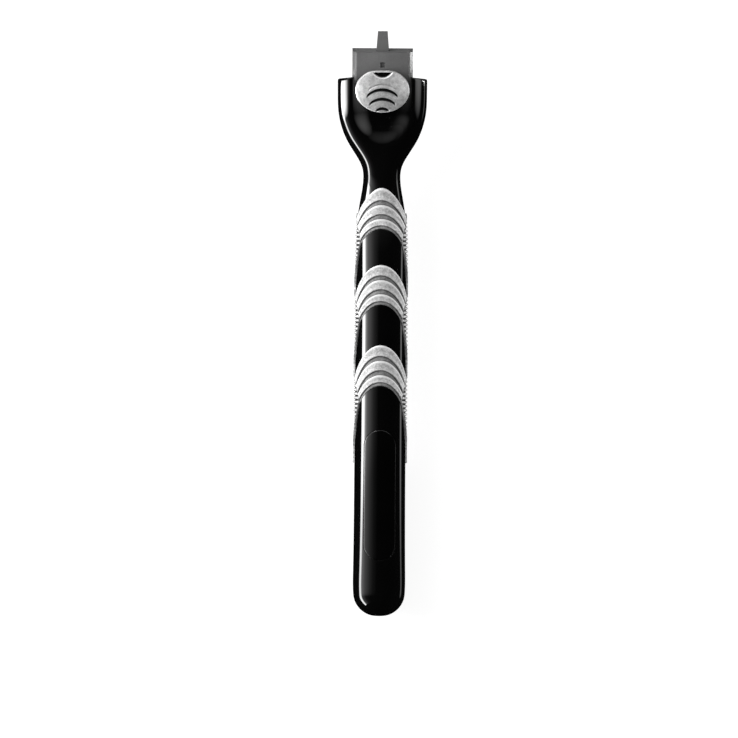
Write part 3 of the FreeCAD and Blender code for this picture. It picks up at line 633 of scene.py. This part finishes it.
# How finely the shells are drawn: columns round them, rows of the tail, the distances between rows
# in the grip and in the head, where the fine rows start, and rows of the yoke's rounded end.
COLUMNS = 208
TAIL_ROWS = 36
TAIL_GAP = 0.4
GRIP_ROW_GAP = 0.5
HEAD_ROW_GAP = 0.2
HEAD_ROWS_START = 98.0
ROUNDING_ROWS = 5


def scoop(points):
    """Sinks the thumb rest into the front of the yoke: a U-shaped dish with a soft rim."""
    head = to_head(points)
    x, t, n = head[..., 0], head[..., 1], head[..., 2]
    radius = np.hypot(x, np.minimum(t - SCOOP_CENTRE, 0.0))
    dish = SCOOP_FLOOR + SCOOP_RISE * (radius / SCOOP_HALF) ** 3
    share = np.clip(0.5 + 0.5 * (n - dish) / SCOOP_BLEND, 0.0, 1.0)
    sunk = n + (dish - n) * share - SCOOP_BLEND * share * (1 - share)
    on_top = (n > 0) & (t > SCOOP_END)
    head[..., 2] = np.where(on_top, sunk, n)
    return from_head(head)


def yoke_drop(x):
    """How far the crowned end of the yoke lies behind its middle."""
    return YOKE_CROWN_RADIUS - np.sqrt(YOKE_CROWN_RADIUS**2 - x**2)


def whole_form(name, scooped):
    """The outer form as one closed piece, with the end of the yoke crowned and rounded."""
    turns = -QUARTER + 2 * math.pi * np.arange(COLUMNS) / COLUMNS
    turn = turns[None, :]
    places = np.concatenate(
        [
            np.linspace(TAIL_PLACE, TAIL_RADIUS, TAIL_ROWS),
            np.arange(TAIL_RADIUS + TAIL_GAP, HEAD_ROWS_START, GRIP_ROW_GAP),
            np.arange(HEAD_ROWS_START, YOKE_END - YOKE_ROUNDING, HEAD_ROW_GAP),
        ]
    )[:, None]
    x = form(places, turn)[..., 0]
    follow = smooth_step((places - POWER_END) / (YOKE_END - POWER_END))
    rows = [form(places - yoke_drop(x) * follow, turn)]
    for k in range(1, ROUNDING_ROWS + 1):
        angle = QUARTER * k / ROUNDING_ROWS
        place = YOKE_END - YOKE_ROUNDING * (1 - math.sin(angle))
        outset = -YOKE_ROUNDING * (1 - math.cos(angle))
        x = form(place, turn, outset)[..., 0]
        rows.append(form(place - yoke_drop(x), turn, outset))
    rows = np.concatenate(rows)
    if scooped:
        rows = scoop(rows)
    return outward(tube(name, rows))


# ---------------- soft grip

# Heights over the shell: the soft grip's surface and underside, its channel, and the cutters' top.
PROUD = 0.4
UNDER = -0.8
CHANNEL = -1.1
CUTTER_TOP = 3.0
GRIP_GAP = 0.05
# The bands by the distance of their upper crown from the tail, and the shape that they share.
BANDS = {"lower": 62.4, "middle": 81.1, "upper": 99.2}
BAND_LENGTH = 9.35
CROWN_HEIGHT = 13.55
TOP_SLOPE = 1.65
BOTTOM_SLOPE = 1.5
BAND_REACH = 16.0
BAND_STEPS = 1601
BAND_ROUNDS = 12
BAND_ROW_GAP = 0.15
BAND_COLUMNS = 110
BAND_CUTTER_ROWS = 20
BAND_CUTTER_COLUMNS = 121
GRIP_START = 35.3
GRIP_END = 93.0
# Fine cross ribs of the back grip: pitch, depth, a groove's half width as a share of the pitch, and
# how they fade at the grip's ends and sides.
RIB_PITCH = 0.94
RIB_GROOVE = 0.5
GROOVE_HALF = 0.42
END_MARGIN = 0.4
END_FADE = 0.6
SIDE_FADE = 0.9
# Painted shade in the grooves: its gain and cut on the groove's depth, and its fade towards the
# skin's upper edges.
SHADE_GAIN = 2.2
SHADE_CUT = 0.35
SHADE_FADE = 0.5
# The wrap round the back in millimetres, as distances and as edge steps count it.
WRAP = 24.0
WRAP_STEPS = 40
WRAP_COLUMNS = 60
ROWS_PER_RIB = 9
CUTTER_ROWS = 220
# Distances from an edge at which a rounded edge gets extra points.
EDGE_STEPS = np.array([0.0, 0.02, 0.06, 0.12, 0.2])

# The wing of the back grip below a band: distance from the band's upper crown, and height.
WING = (
    (-23.4, 5.2), (-22.4, 6.1), (-20.9, 7.6), (-17.5, 8.95), (-14.6, 10.1), (-13.0, 10.65),
    (-11.6, 10.45), (-9.6, 9.6), (-7.7, 8.55), (-6.7, 7.2), (-5.9, 5.2),
)


def wing_height(along):
    """Height of the back grip's upper edge."""
    distances, heights = np.array(WING).T
    found = np.full_like(np.asarray(along, float), PARTING_HEIGHT)
    for crown in BANDS.values():
        wing = np.interp(along, distances + crown, heights, PARTING_HEIGHT, PARTING_HEIGHT)
        found = np.maximum(found, wing)
    return found


def edge_drop(distance, radius=0.2):
    """How far a rounded edge lies below the surface at this distance from it."""
    inside = np.clip(radius - distance, 0.0, radius)
    return radius - np.sqrt(radius**2 - inside**2)


def edged(low, high, count):
    """Places from low to high with extra ones near both ends for the rounding."""
    middle = np.linspace(low + EDGE_STEPS[-1], high - EDGE_STEPS[-1], count)
    return np.concatenate([low + EDGE_STEPS[:-1], middle, (high - EDGE_STEPS[:-1])[::-1]])


def back_grip_grid(start, end, count, widened, outset_at):
    """Points over the back, from one wavy upper edge round to the other."""
    along = edged(start, end, count)[:, None]
    edge = turn_at_height(along, wing_height(along) + widened)
    steps = EDGE_STEPS / WRAP_STEPS
    share = np.concatenate([steps[:-1], np.linspace(steps[-1], 0.5, WRAP_COLUMNS)])
    share = np.concatenate([share, 1 - share[-2::-1]])[None, :]
    turn = edge - share * (math.pi + 2 * edge)
    side = np.minimum(share, 1 - share) * WRAP
    ends = np.minimum(along - start, end - along)
    return form(along, turn, outset_at(along, side, ends))


def rib_groove(along):
    """How deep the back grip's fine cross grooves are here, from 0 to 1."""
    phase = (along - GRIP_START) / RIB_PITCH % 1.0
    return smooth_step(1 - np.abs(phase - 0.5) / GROOVE_HALF)


def back_grip_piece():
    """The soft skin on the back, with fine cross ribs that run out on the flanks, and painted shade
    in their grooves.
    """

    def outset_at(along, side, ends):
        depth = RIB_GROOVE * rib_groove(along) * smooth_step((ends - END_MARGIN) / END_FADE)
        depth = depth * smooth_step(side / SIDE_FADE)
        return PROUD - depth - np.maximum(edge_drop(side), edge_drop(ends))

    def bottom(along, side, ends):
        return np.full_like(along + side, UNDER)

    rows = int((GRIP_END - GRIP_START) / RIB_PITCH * ROWS_PER_RIB)
    top = back_grip_grid(GRIP_START, GRIP_END, rows, 0.0, outset_at)
    under = back_grip_grid(GRIP_START, GRIP_END, rows, 0.0, bottom)
    top[..., 2] = np.maximum(top[..., 2], 0.0)
    along = edged(GRIP_START, GRIP_END, rows)[:, None]
    columns = np.linspace(0.0, 1.0, top.shape[1])[None, :]
    side = np.minimum(columns, 1 - columns) * WRAP
    # Painted shade in the grooves, fading out near the skin's upper edges.
    shade = np.clip(SHADE_GAIN * rib_groove(along) - SHADE_CUT, 0.0, 1.0)
    return slab("back_grip_skin", top, under, shade * smooth_step(side / SHADE_FADE))


def back_grip_cutter(name):
    """The channel that the shells need for the back grip."""
    grids = [
        back_grip_grid(
            GRIP_START - GRIP_GAP,
            GRIP_END + GRIP_GAP,
            CUTTER_ROWS,
            GRIP_GAP,
            lambda along, side, ends: np.full_like(along + side, height),
        )
        for height in (CUTTER_TOP, CHANNEL)
    ]
    return slab(name, *grids)


def band_slope(below):
    return TOP_SLOPE + (BOTTOM_SLOPE - TOP_SLOPE) * below / BAND_LENGTH


def band_end(crown, below, widened):
    """The turn on the +X side where a band's lines meet the back grip, for lines this far below its
    upper edge."""
    ends = []
    for start in below:
        slope = band_slope(start)
        along = crown - start - np.linspace(0.0, BAND_REACH, BAND_STEPS)
        line = CROWN_HEIGHT - (crown - start - along) / slope
        past = np.argmax(line < wing_height(along) + GRIP_GAP - widened)
        ends.append(turn_at_height(along[past], line[past]))
    return np.array(ends)


def band_grid(crown, below, shares, widened, outset):
    """Points of a band. Rows lie this far below its upper edge, and shares run from end to end.
    Each round brings the rows nearer to the slanted lines, which depend on the height."""
    below = below[:, None]
    ends = band_end(crown, below[:, 0], widened)[:, None]
    turn = ends + shares[None, :] * (math.pi - 2 * ends)
    slope = band_slope(below)
    along = crown - below + 0 * turn
    for _ in range(BAND_ROUNDS):
        height = form(along, turn, PROUD)[..., 2]
        along = crown - below - slope * (CROWN_HEIGHT - height)
    return form(along, turn, outset)


# Cross section of a band: distance below its upper edge, height over the shell, and shade, which is
# painted shade in the grooves and along the lower edge (above 0) and painted highlight along the
# ribs' upper edges (below 0).
BAND_PROFILE = (
    (0.00, -0.10, 0.0), (0.03, 0.16, -0.8), (0.10, 0.33, -1.0), (0.22, 0.44, -1.0),
    (0.38, 0.47, -0.8), (0.70, 0.41, 0.0), (1.50, 0.34, 0.05), (2.10, 0.38, -0.2),
    (2.35, 0.38, -0.2), (2.48, 0.28, 0.4), (2.56, 0.02, 0.9), (2.64, -0.06, 0.8),
    (2.78, -0.05, 0.6), (3.30, -0.04, 0.6), (3.40, -0.02, 0.8), (3.50, 0.10, 0.8),
    (3.58, 0.36, -0.4), (3.70, 0.46, -1.0), (3.92, 0.46, -0.9), (4.25, 0.39, 0.0),
    (4.90, 0.34, 0.05), (5.45, 0.38, -0.2), (5.62, 0.38, -0.2), (5.74, 0.28, 0.4),
    (5.82, 0.02, 0.9), (5.92, -0.06, 0.8), (6.04, -0.05, 0.6), (6.62, -0.04, 0.6),
    (6.72, -0.02, 0.8), (6.82, 0.10, 0.8), (6.90, 0.36, -0.4), (7.02, 0.46, -1.0),
    (7.22, 0.46, -0.9), (7.50, 0.39, 0.0), (7.85, 0.36, 0.0), (8.20, 0.38, -0.2),
    (8.38, 0.38, -0.2), (8.50, 0.26, 0.5), (8.58, 0.03, 0.9), (8.70, -0.02, 0.6), (8.90, 0.02, 0.6),
    (9.15, 0.04, 0.6), (9.28, 0.02, 0.75), (9.35, -0.10, 0.9),
)


def band_piece(name, crown):
    """Three rounded ribs with sunk grooves between them, which end at the back grip."""
    profile = np.array(BAND_PROFILE)
    extra = np.arange(BAND_ROW_GAP, BAND_LENGTH, BAND_ROW_GAP)
    below = np.unique(np.concatenate([profile[:, 0], extra]))
    height = np.interp(below, profile[:, 0], profile[:, 1])
    shade = np.interp(below, profile[:, 0], profile[:, 2])
    edge = EDGE_STEPS / BAND_REACH
    middle = np.linspace(edge[-1], 1 - edge[-1], BAND_COLUMNS)
    shares = np.concatenate([edge[:-1], middle, 1 - edge[-2::-1]])
    side = np.minimum(shares, 1 - shares) * BAND_REACH
    outset = height[:, None] - edge_drop(side)[None, :]
    top = band_grid(crown, below, shares, 0.0, outset)
    bottom = band_grid(crown, below, shares, 0.0, UNDER)
    # The profile's shade: painted shade in the grooves, painted highlight on the ribs' upper edges.
    return slab(name, top, bottom, shade[:, None] * np.ones_like(outset))


def band_cutter(name, crown):
    """The channel that the front shell needs for a band."""
    below = np.linspace(-GRIP_GAP, BAND_LENGTH + GRIP_GAP, BAND_CUTTER_ROWS)
    shares = np.linspace(0.0, 1.0, BAND_CUTTER_COLUMNS)
    heights = (CUTTER_TOP, CHANNEL)
    return slab(name, *[band_grid(crown, below, shares, 2 * GRIP_GAP, h) for h in heights])


# ---------------- palm inlay

INLAY_HALF = 3.65
INLAY_LENGTH = 30.0
INLAY_ALONG = 27.9
INLAY_GAP = 0.1
INLAY_BOTTOM = 11.2
INLAY_EDGE = 0.13
INLAY_STRAIGHT = INLAY_LENGTH - 2 * INLAY_HALF
INLAY_RINGS = np.concatenate([EDGE_STEPS, np.linspace(0.35, INLAY_HALF - 0.01, 22)])
ROUND_POINTS = 48
SIDE_POINTS = 60


def stadium(half):
    """The inlay's round-ended outline in plan, as points round it."""
    count, straight = ROUND_POINTS, INLAY_STRAIGHT
    turns = [np.linspace(k * math.pi, (k + 1) * math.pi, count) for k in range(2)]
    turns = np.concatenate(turns)
    shift = np.where(np.arange(2 * count) < count, straight / 2, -straight / 2)
    x = half * np.cos(turns)
    y = half * np.sin(turns) + shift
    along = np.linspace(-straight / 2, straight / 2, SIDE_POINTS)[1:-1]
    left = np.column_stack([np.full_like(along, -half), along[::-1]])
    right = np.column_stack([np.full_like(along, half), along])
    ring = np.column_stack([x, y])
    ring = np.concatenate([ring[:count], left, ring[count:], right])
    return ring + np.array([0.0, INLAY_ALONG - LENGTH / 2])


def inlay_piece():
    """The long round-ended panel, following the front of the handle, with a softened edge."""
    rings = []
    for inset in INLAY_RINGS:
        plan = stadium(INLAY_HALF - inset)
        height = front_height(plan[:, 0], plan[:, 1] + LENGTH / 2)
        rings.append(np.column_stack([plan, height - edge_drop(inset, INLAY_EDGE)]))
    floor_ring = rings[0].copy()
    floor_ring[:, 2] = INLAY_BOTTOM
    return ring_piece("inlay_cover", np.stack([floor_ring, *rings]))


def inlay_cutter():
    return prism("inlay_recess", stadium(INLAY_HALF + INLAY_GAP), INLAY_BOTTOM - INLAY_GAP, FAR)


# ---------------- button

# Curved ribs of the thumb pad: radius, crown, half width and strength.
RIB_ARCS = (
    (4.6, 1.86, 3.4, 0.25),
    (4.5, 0.85, 3.7, 1.0),
    (3.8, -1.4, 3.1, 1.0),
    (1.9, -3.74, 1.55, 1.0),
)
# Behind each arc lies a sunk stroke with a steep front wall, and before it a raised crest. The
# stroke and the slope below it carry painted shade, and the crest a painted highlight.
RIB_DEPTH = 0.5
RIB_RUN = 1.5
RIB_CREST = 0.1
STROKE_WIDTH = (0.46, 0.44)
STROKE_WALL = 0.06
STROKE_RUNOUT = 0.16
CREST_OFFSET = 0.28
CREST_WIDTH = 0.3
CREST_PAINTED_HIGHLIGHT = 0.95
SLOPE_PAINTED_SHADE = 0.55
# The recess behind the front lip: an arc cut off straight, black inside with painted shade, and a
# shallow collar round it with a painted highlight.
DIMPLE_RADIUS = 2.55
DIMPLE_LIP = 0.46
DIMPLE_DEPTH = 1.22
DIMPLE_SINK = 1.3
DIMPLE_WALL = 0.1
COLLAR_WIDTH = 0.3
COLLAR_SINK = 0.14
COLLAR_PAINTED_HIGHLIGHT = -0.9
BOSS_HALF = (2.63, 2.23)
BOSS_TOP = 4.23
# The rim carries a painted highlight, brightest towards the lower left, where the light falls.
RIM_WIDTH = 0.25
RIM_RADIUS = 0.3
RIM_PAINTED_HIGHLIGHT = -0.15
RIM_LIT = 0.7
CORNER_POWER = 24
CAP_RINGS = 120
CAP_COLUMNS = 360


def cap_relief(x, t):
    """How far the thumb pad is sunk below its dome, and its shade: painted shade in the strokes,
    below them and in the recess, and painted highlights on the crests and the collar.
    """
    sunk = np.zeros_like(x)
    shade = np.zeros_like(x)
    for radius, crown, half_width, strength in RIB_ARCS:
        rise = np.sqrt(np.maximum(radius**2 - x**2, 0.01))
        inside = (crown - radius + rise - t) * rise / radius
        taper = np.clip(1 - (x / half_width) ** 2, 0.0, 1.0)
        width = STROKE_WIDTH[0] + STROKE_WIDTH[1] * taper
        wall = smooth_step(inside / STROKE_WALL)
        stroke = wall * smooth_step((width - inside) / STROKE_RUNOUT)
        stroke = strength * stroke * smooth_step(taper / 0.2)
        crest = smooth_step(1.3 - np.abs(inside + CREST_OFFSET) / CREST_WIDTH)
        crest = strength * crest * smooth_step(taper / 0.4)
        below = np.clip(1 - inside / RIB_RUN, 0.0, 1.0) * wall * taper
        sunk = np.maximum(sunk, RIB_DEPTH * stroke) - RIB_CREST * crest
        shade = shade - CREST_PAINTED_HIGHLIGHT * crest
        shade = np.maximum(shade, np.maximum(stroke, SLOPE_PAINTED_SHADE * strength * below))
    centre = BUTTON_FLAT - DIMPLE_LIP - DIMPLE_DEPTH + DIMPLE_RADIUS
    inside = np.minimum(DIMPLE_RADIUS - np.hypot(x, t - centre), BUTTON_FLAT - DIMPLE_LIP - t)
    sunk = np.maximum(sunk, DIMPLE_SINK * smooth_step(inside / DIMPLE_WALL))
    behind = t < BUTTON_FLAT - DIMPLE_LIP
    collar = smooth_step((inside + COLLAR_WIDTH) / COLLAR_WIDTH)
    sunk = np.maximum(sunk, COLLAR_SINK * collar * behind)
    # Painted shade inside the recess and a painted highlight on its collar.
    dark = np.where(inside > 0, smooth_step(inside / STROKE_WALL), COLLAR_PAINTED_HIGHLIGHT)
    return sunk, np.where(inside > -COLLAR_WIDTH, dark, shade)


def button_piece():
    """The oval thumb pad: domed, rimmed and stepped by curved ribs, with a recess behind its front
    lip. Its front is cut straight, and the wall under it leans back."""
    turns = 2 * math.pi * np.arange(CAP_COLUMNS) / CAP_COLUMNS
    cosine, sine = np.cos(turns), np.sin(turns)
    oval = 1 / np.hypot(cosine / BUTTON_HALF_WIDTH, sine / BUTTON_HALF_LENGTH)
    flat = np.where(sine > 0.05, BUTTON_FLAT / np.maximum(sine, 0.05), FAR)
    radius = (oval**-CORNER_POWER + flat**-CORNER_POWER) ** (-1 / CORNER_POWER)
    shares = np.concatenate([1 - EDGE_STEPS / 6, np.linspace(0.955, 0.004, CAP_RINGS)])
    reach = shares[:, None] * radius[None, :]
    x, t = reach * cosine, reach * sine
    sunk, shade = cap_relief(x, t)
    from_rim = (1 - shares)[:, None] * radius[None, :]
    dome = BUTTON_TOP - BUTTON_DOME + np.sqrt(BUTTON_DOME**2 - x**2 - t**2)
    n = dome - sunk - edge_drop(from_rim, RIM_RADIUS)
    # Painted highlight along the rim, strongest on the lower left, where the light falls.
    lit = np.clip(-(cosine + 0.8 * sine), 0.0, 1.0)[None, :]
    shade = np.where(from_rim < RIM_WIDTH, RIM_PAINTED_HIGHLIGHT - RIM_LIT * lit, shade)
    top = np.stack([x, t + BUTTON_CENTRE, n], axis=-1)
    foot = top[0].copy()
    foot[:, 1] -= (foot[:, 2] - SLIDER_TOP) * math.tan(HEAD_TILT) * smooth_step(sine / 0.6)
    foot[:, 2] = SLIDER_TOP
    rings = np.concatenate([foot[None], top])
    shade = np.concatenate([np.zeros((1, CAP_COLUMNS)), shade]).ravel()
    cap = ring_piece("thumb_button", from_head(rings), shade)
    half_x, half_t = BOSS_HALF
    reach_t = (BUTTON_CENTRE - half_t, BUTTON_CENTRE + half_t)
    boss = head_box("boss_room", (-half_x, half_x), reach_t, (SLIDER_BOTTOM, BOSS_TOP))
    return carve(cap, boss)


# ---------------- springs

SPRING_RADIUS = 1.1
SPRING_WIRE = 0.16
TURN_STEPS = 28
WIRE_SIDES = 10


def coil(name, start, end, turns):
    """A round-wire spring on the head's axis."""
    count = int(turns * TURN_STEPS)
    share = np.linspace(0.0, 1.0, count)
    angle = 2 * math.pi * turns * share
    start, end = start + SPRING_WIRE, end - SPRING_WIRE
    x, n = SPRING_RADIUS * np.cos(angle), SPRING_RADIUS * np.sin(angle)
    line = np.column_stack([x, start + (end - start) * share, n])
    out = np.column_stack([np.cos(angle), np.zeros(count), np.sin(angle)])
    side = 2 * math.pi * np.arange(WIRE_SIDES) / WIRE_SIDES
    rings = (
        line[:, None]
        + SPRING_WIRE * np.cos(side)[None, :, None] * out[:, None]
        + SPRING_WIRE * np.sin(side)[None, :, None] * np.array([0.0, 1.0, 0.0])
    )
    return outward(tube(name, from_head(rings)))


# ---------------- pieces

front = carve(
    whole_form("front_cover", True),
    core_pocket(),
    button_notch(),
    inlay_cutter(),
    back_grip_cutter("front_wings"),
    *head_hollows(),
    *[band_cutter(f"channel_{name}", crown) for name, crown in BANDS.items()],
    keep=parting_block("front_block", 1),
)
finish_piece(front, "handle", "shell_black", "front_shell")

back = carve(
    whole_form("back_cover", False),
    core_pocket(),
    back_grip_cutter("back_channel"),
    *head_hollows(),
    keep=parting_block("back_block", -1),
)
finish_piece(back, "handle", "shell_black", "back_shell")

for name, crown in BANDS.items():
    finish_piece(band_piece(f"{name}_ribs", crown), "handle", "grip_rubber", f"{name}_grip_band")
finish_piece(back_grip_piece(), "handle", "grip_rubber", "back_grip")
finish_piece(inlay_piece(), "handle", "inlay_black", "inlay_panel")
finish_piece(button_piece(), "button", "button_silver", "button_cap")

HOOK_END = -17.0
PLUG_REAR = -10.9
PLUG_FRONT = -8.0
PLUNGER_START = 0.9
button_coil = coil("button_coil", HOOK_END, PLUG_REAR, 5.0)
finish_piece(button_coil, "button", "spring_steel", "button_spring")
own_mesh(button_coil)
plunger_coil = coil("plunger_coil", PLUG_FRONT, PLUNGER_START, 9.0)
finish_piece(plunger_coil, "plunger", "spring_steel", "plunger_spring")
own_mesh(plunger_coil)

for node, slot in (
    ("cartridge_tongue", "tongue_grey"),
    ("plunger", "tongue_grey"),
    ("spring_plug", "tongue_grey"),
    ("button_slider", "slider_black"),
    ("metal_core", "core_metal"),
):
    thing = frame["nodes"][node]
    thing.data.materials.clear()
    thing.data.materials.append(MATERIALS[slot])


# ---------------- floor, light and camera

FLOOR_HALF = 3000.0
FLOOR_GLOW = 0.88


def floor():
    """A white floor that also glows, so that it is as even and bright as the photo's ground."""
    made = new_material("floor_white", 0.9, 0.9, Specular_IOR_Level=0.1)
    tone = ramp(made, noise(made, 6.0, 3.0), (0.3, 0.3), (0.7, 0.34))
    shader_input(made, "Base Color", tone)
    shader = made.node_tree.nodes["Principled BSDF"]
    shader.inputs["Emission Color"].default_value = rgba(1.0)
    shader.inputs["Emission Strength"].default_value = FLOOR_GLOW
    corners = np.array([(-1, -1, 0), (1, -1, 0), (1, 1, 0), (-1, 1, 0)]) * FLOOR_HALF
    thing = make_object("floor", corners, [(0, 1, 2, 3)])
    thing.data.materials.append(made)
    thing.visible_glossy = False
    thing.visible_shadow = False


# Brightness of the tent by angle from straight up, negative to the left: as the grip, the palm end
# and the tail see it, and beyond the head.
GRIP_GLOW = (
    (-97, 0.0), (-94, 13.0), (-82, 13.0), (-76, 4.0), (-70, 2.0), (-62, 1.0), (-49, 0.62),
    (-39, 0.34), (-30, 0.16), (-21, 0.08), (-8, 0.0), (105, 0.0), (108, 0.9), (115, 0.9),
    (118, 0.0),
)
PALM_GLOW = (
    (-96, 0.0), (-93, 8.0), (-86, 8.0), (-80, 1.4), (-62, 0.6), (-49, 0.35), (-39, 0.18),
    (-25, 0.05), (-8, 0.0), (106, 0.0), (109, 0.6), (114, 0.6), (117, 0.0),
)
TAIL_GLOW = ((-97, 0.0), (-95, 9.0), (-86, 9.0), (-81, 0.5), (-60, 0.05), (-40, 0.0))
FAR_GLOW = (
    (-118, 0.0), (-80, 5.0), (-50, 3.0), (-30, 2.4), (-12, 1.4), (0, 0.9), (25, 0.8), (60, 1.2),
    (100, 0.0),
)
TENT_RADIUS = 700.0
TENT_ANGLE = 120.0
TENT_STEP = 20.0
# The tent's glow and its level by distance from the handle's middle.
TENT_ZONES = {
    -900.0: (TAIL_GLOW, 1.0),
    -260.0: (TAIL_GLOW, 1.0),
    -130.0: (PALM_GLOW, 1.0),
    -60.0: (PALM_GLOW, 1.0),
    -40.0: (GRIP_GLOW, 1.0),
    60.0: (GRIP_GLOW, 1.0),
    200.0: (FAR_GLOW, 0.2),
    450.0: (FAR_GLOW, 0.8),
    900.0: (FAR_GLOW, 1.0),
}
# Cloth panels near the head: their glow by angle, and how it fades along the handle.
NEAR_PANEL_RADIUS = 40.0
LEFT_PANEL_GLOW = (
    (-96, 0.0), (-92, 15.0), (-76, 14.0), (-69, 13.0), (-62, 9.5), (-54, 4.5), (-46, 1.4),
    (-40, 0.6), (-34, 0.2), (-12, 0.0),
)
LEFT_PANEL_FADE = ((28.0, 0.0), (36.0, 1.0), (47.0, 1.0), (49.0, 0.0))
HAZE_PANEL_GLOW = ((12, 0.0), (22, 0.8), (35, 1.3), (60, 1.3), (68, 0.8), (74, 0.0))
HAZE_PANEL_FADE = ((26.0, 0.0), (44.0, 1.0), (60.0, 1.0), (68.0, 0.0))
RIGHT_PANEL_RADIUS = 79.0
RIGHT_PANEL_GLOW = ((78, 0.0), (80, 18.0), (100, 18.0), (102, 0.0))
RIGHT_PANEL_FADE = ((41.0, 0.0), (42.0, 1.0), (48.0, 1.0), (50.0, 0.0))
# A black flag that keeps the tent's left side out of the tongue's left bevel.
FLAG_ANGLES = (-110.0, -50.0, 5.0)
FLAG_ALONG = (50.0, 90.0)
# Soft boxes: direction, side, distance and radiance.
SOFT_BOXES = {
    "key": ((-0.7, 0.42, 0.6), 420.0, 650.0, 3.5),
    "left_low": ((-1.0, 0.1, 0.33), 300.0, 650.0, 16.0),
    "right_rim": ((1.0, -0.1, -0.05), 300.0, 650.0, 9.0),
}
WORLD_FILL = 0.3


def cloth(name, radius, angles, along, glow, clear=True):
    """A round of glowing cloth over the handle, seen only in reflections. Clear cloth lets what is
    behind it shine through."""
    turn = np.radians(angles)[None, :]
    x, z = radius * np.sin(turn), radius * np.cos(turn) + HEAD_Z
    points = np.stack(np.broadcast_arrays(x, along[:, None], z), axis=-1)
    made = bpy.data.materials.new(name)
    made.use_nodes = True
    made.node_tree.nodes.clear()
    level = add_node(made, "ShaderNodeAttribute", attribute_name="shade").outputs["Fac"]
    surface = add_node(made, "ShaderNodeEmission", {"Strength": level}).outputs[0]
    if clear:
        through = add_node(made, "ShaderNodeBsdfTransparent").outputs[0]
        surface = add_node(made, "ShaderNodeAddShader", {0: surface, 1: through}).outputs[0]
    add_node(made, "ShaderNodeOutputMaterial", {"Surface": surface})
    faces = grid_faces(len(along), len(angles), False)
    thing = make_object(name, points.reshape(-1, 3), faces, glow.ravel())
    thing.data.materials.append(made)
    thing.visible_camera = False
    thing.visible_diffuse = False
    thing.visible_shadow = False


def tent():
    """A half round of cloth over the whole handle, lit in strips."""
    angles = np.arange(-TENT_ANGLE, TENT_ANGLE + 1.0, 1.0)
    borders = list(TENT_ZONES)
    along = np.arange(borders[0], borders[-1] + 1.0, TENT_STEP)
    zones = [level * np.interp(angles, *np.array(glow).T) for glow, level in TENT_ZONES.values()]
    glow = np.array([np.interp(along, borders, levels) for levels in np.array(zones).T]).T
    cloth("tent", TENT_RADIUS, angles, along, glow)


def panel(name, radius, glow, fade):
    """A small piece of cloth beside the head."""
    glow, fade = np.array(glow), np.array(fade)
    angles = np.arange(glow[0, 0], glow[-1, 0] + 0.5, 1.0)
    along = np.arange(fade[0, 0], fade[-1, 0] + 0.5, 1.0)
    levels = np.outer(np.interp(along, *fade.T), np.interp(angles, *glow.T))
    cloth(name, radius, angles, along, levels)


def soft_box(name, direction, size, distance, radiance):
    """A square soft box that lights matt surfaces."""
    data = bpy.data.lights.new(name, "AREA")
    data.shape = "SQUARE"
    data.size = size * MM
    data.energy = radiance * math.pi * (size * MM) ** 2
    thing = bpy.data.objects.new(name, data)
    bpy.context.scene.collection.objects.link(thing)
    way = Vector(direction).normalized()
    turned = way.to_track_quat("Z", "Y").to_matrix().to_4x4()
    thing.matrix_world = Matrix.Translation(way * distance * MM) @ turned
    thing.visible_camera = False
    thing.visible_glossy = False


tent()
panel("left_panel", NEAR_PANEL_RADIUS, LEFT_PANEL_GLOW, LEFT_PANEL_FADE)
panel("haze_panel", NEAR_PANEL_RADIUS, HAZE_PANEL_GLOW, HAZE_PANEL_FADE)
panel("right_panel", RIGHT_PANEL_RADIUS, RIGHT_PANEL_GLOW, RIGHT_PANEL_FADE)
flag = np.arange(*FLAG_ANGLES)
black = np.zeros((len(FLAG_ALONG), len(flag)))
cloth("left_flag", NEAR_PANEL_RADIUS, flag, np.array(FLAG_ALONG), black, clear=False)
for name, values in SOFT_BOXES.items():
    soft_box(name, *values)

# The world is white behind the object, a weak fill light on matt surfaces and black in reflections.
world = bpy.data.worlds.new("studio")
bpy.context.scene.world = world
world.use_nodes = True
path = add_node(world, "ShaderNodeLightPath").outputs
inputs = {0: path["Is Camera Ray"], 2: WORLD_FILL, 3: 1.0}
level = add_node(world, "ShaderNodeMix", inputs, data_type="FLOAT").outputs[0]
inputs = {0: level, 1: path["Is Glossy Ray"]}
level = add_node(world, "ShaderNodeMath", inputs, operation="SUBTRACT", use_clamp=True).outputs[0]
background = world.node_tree.nodes["Background"].inputs
world.node_tree.links.new(level, background["Strength"])
background["Color"].default_value = rgba(1.0)

floor()

# A view from straight above, as in the photo, turned by the handle's lean.
VIEW_SIDE = 170.3
VIEW_MIDDLE = Vector((-2.65, 57.0 - LENGTH / 2, HEAD_Z / 2))
VIEW_HEIGHT = Vector((0.0, 0.0, 600.0))
LEAN = math.radians(0.4)
camera_data = bpy.data.cameras.new("camera")
camera_data.type = "ORTHO"
camera_data.ortho_scale = VIEW_SIDE * MM
camera = bpy.data.objects.new("camera", camera_data)
bpy.context.scene.collection.objects.link(camera)
stand = Matrix.Translation((VIEW_MIDDLE + VIEW_HEIGHT) * MM)
camera.matrix_world = stand @ Matrix.Rotation(LEAN, 4, "Z")
bpy.context.scene.camera = camera
bpy.context.scene.view_settings.view_transform = "Standard"
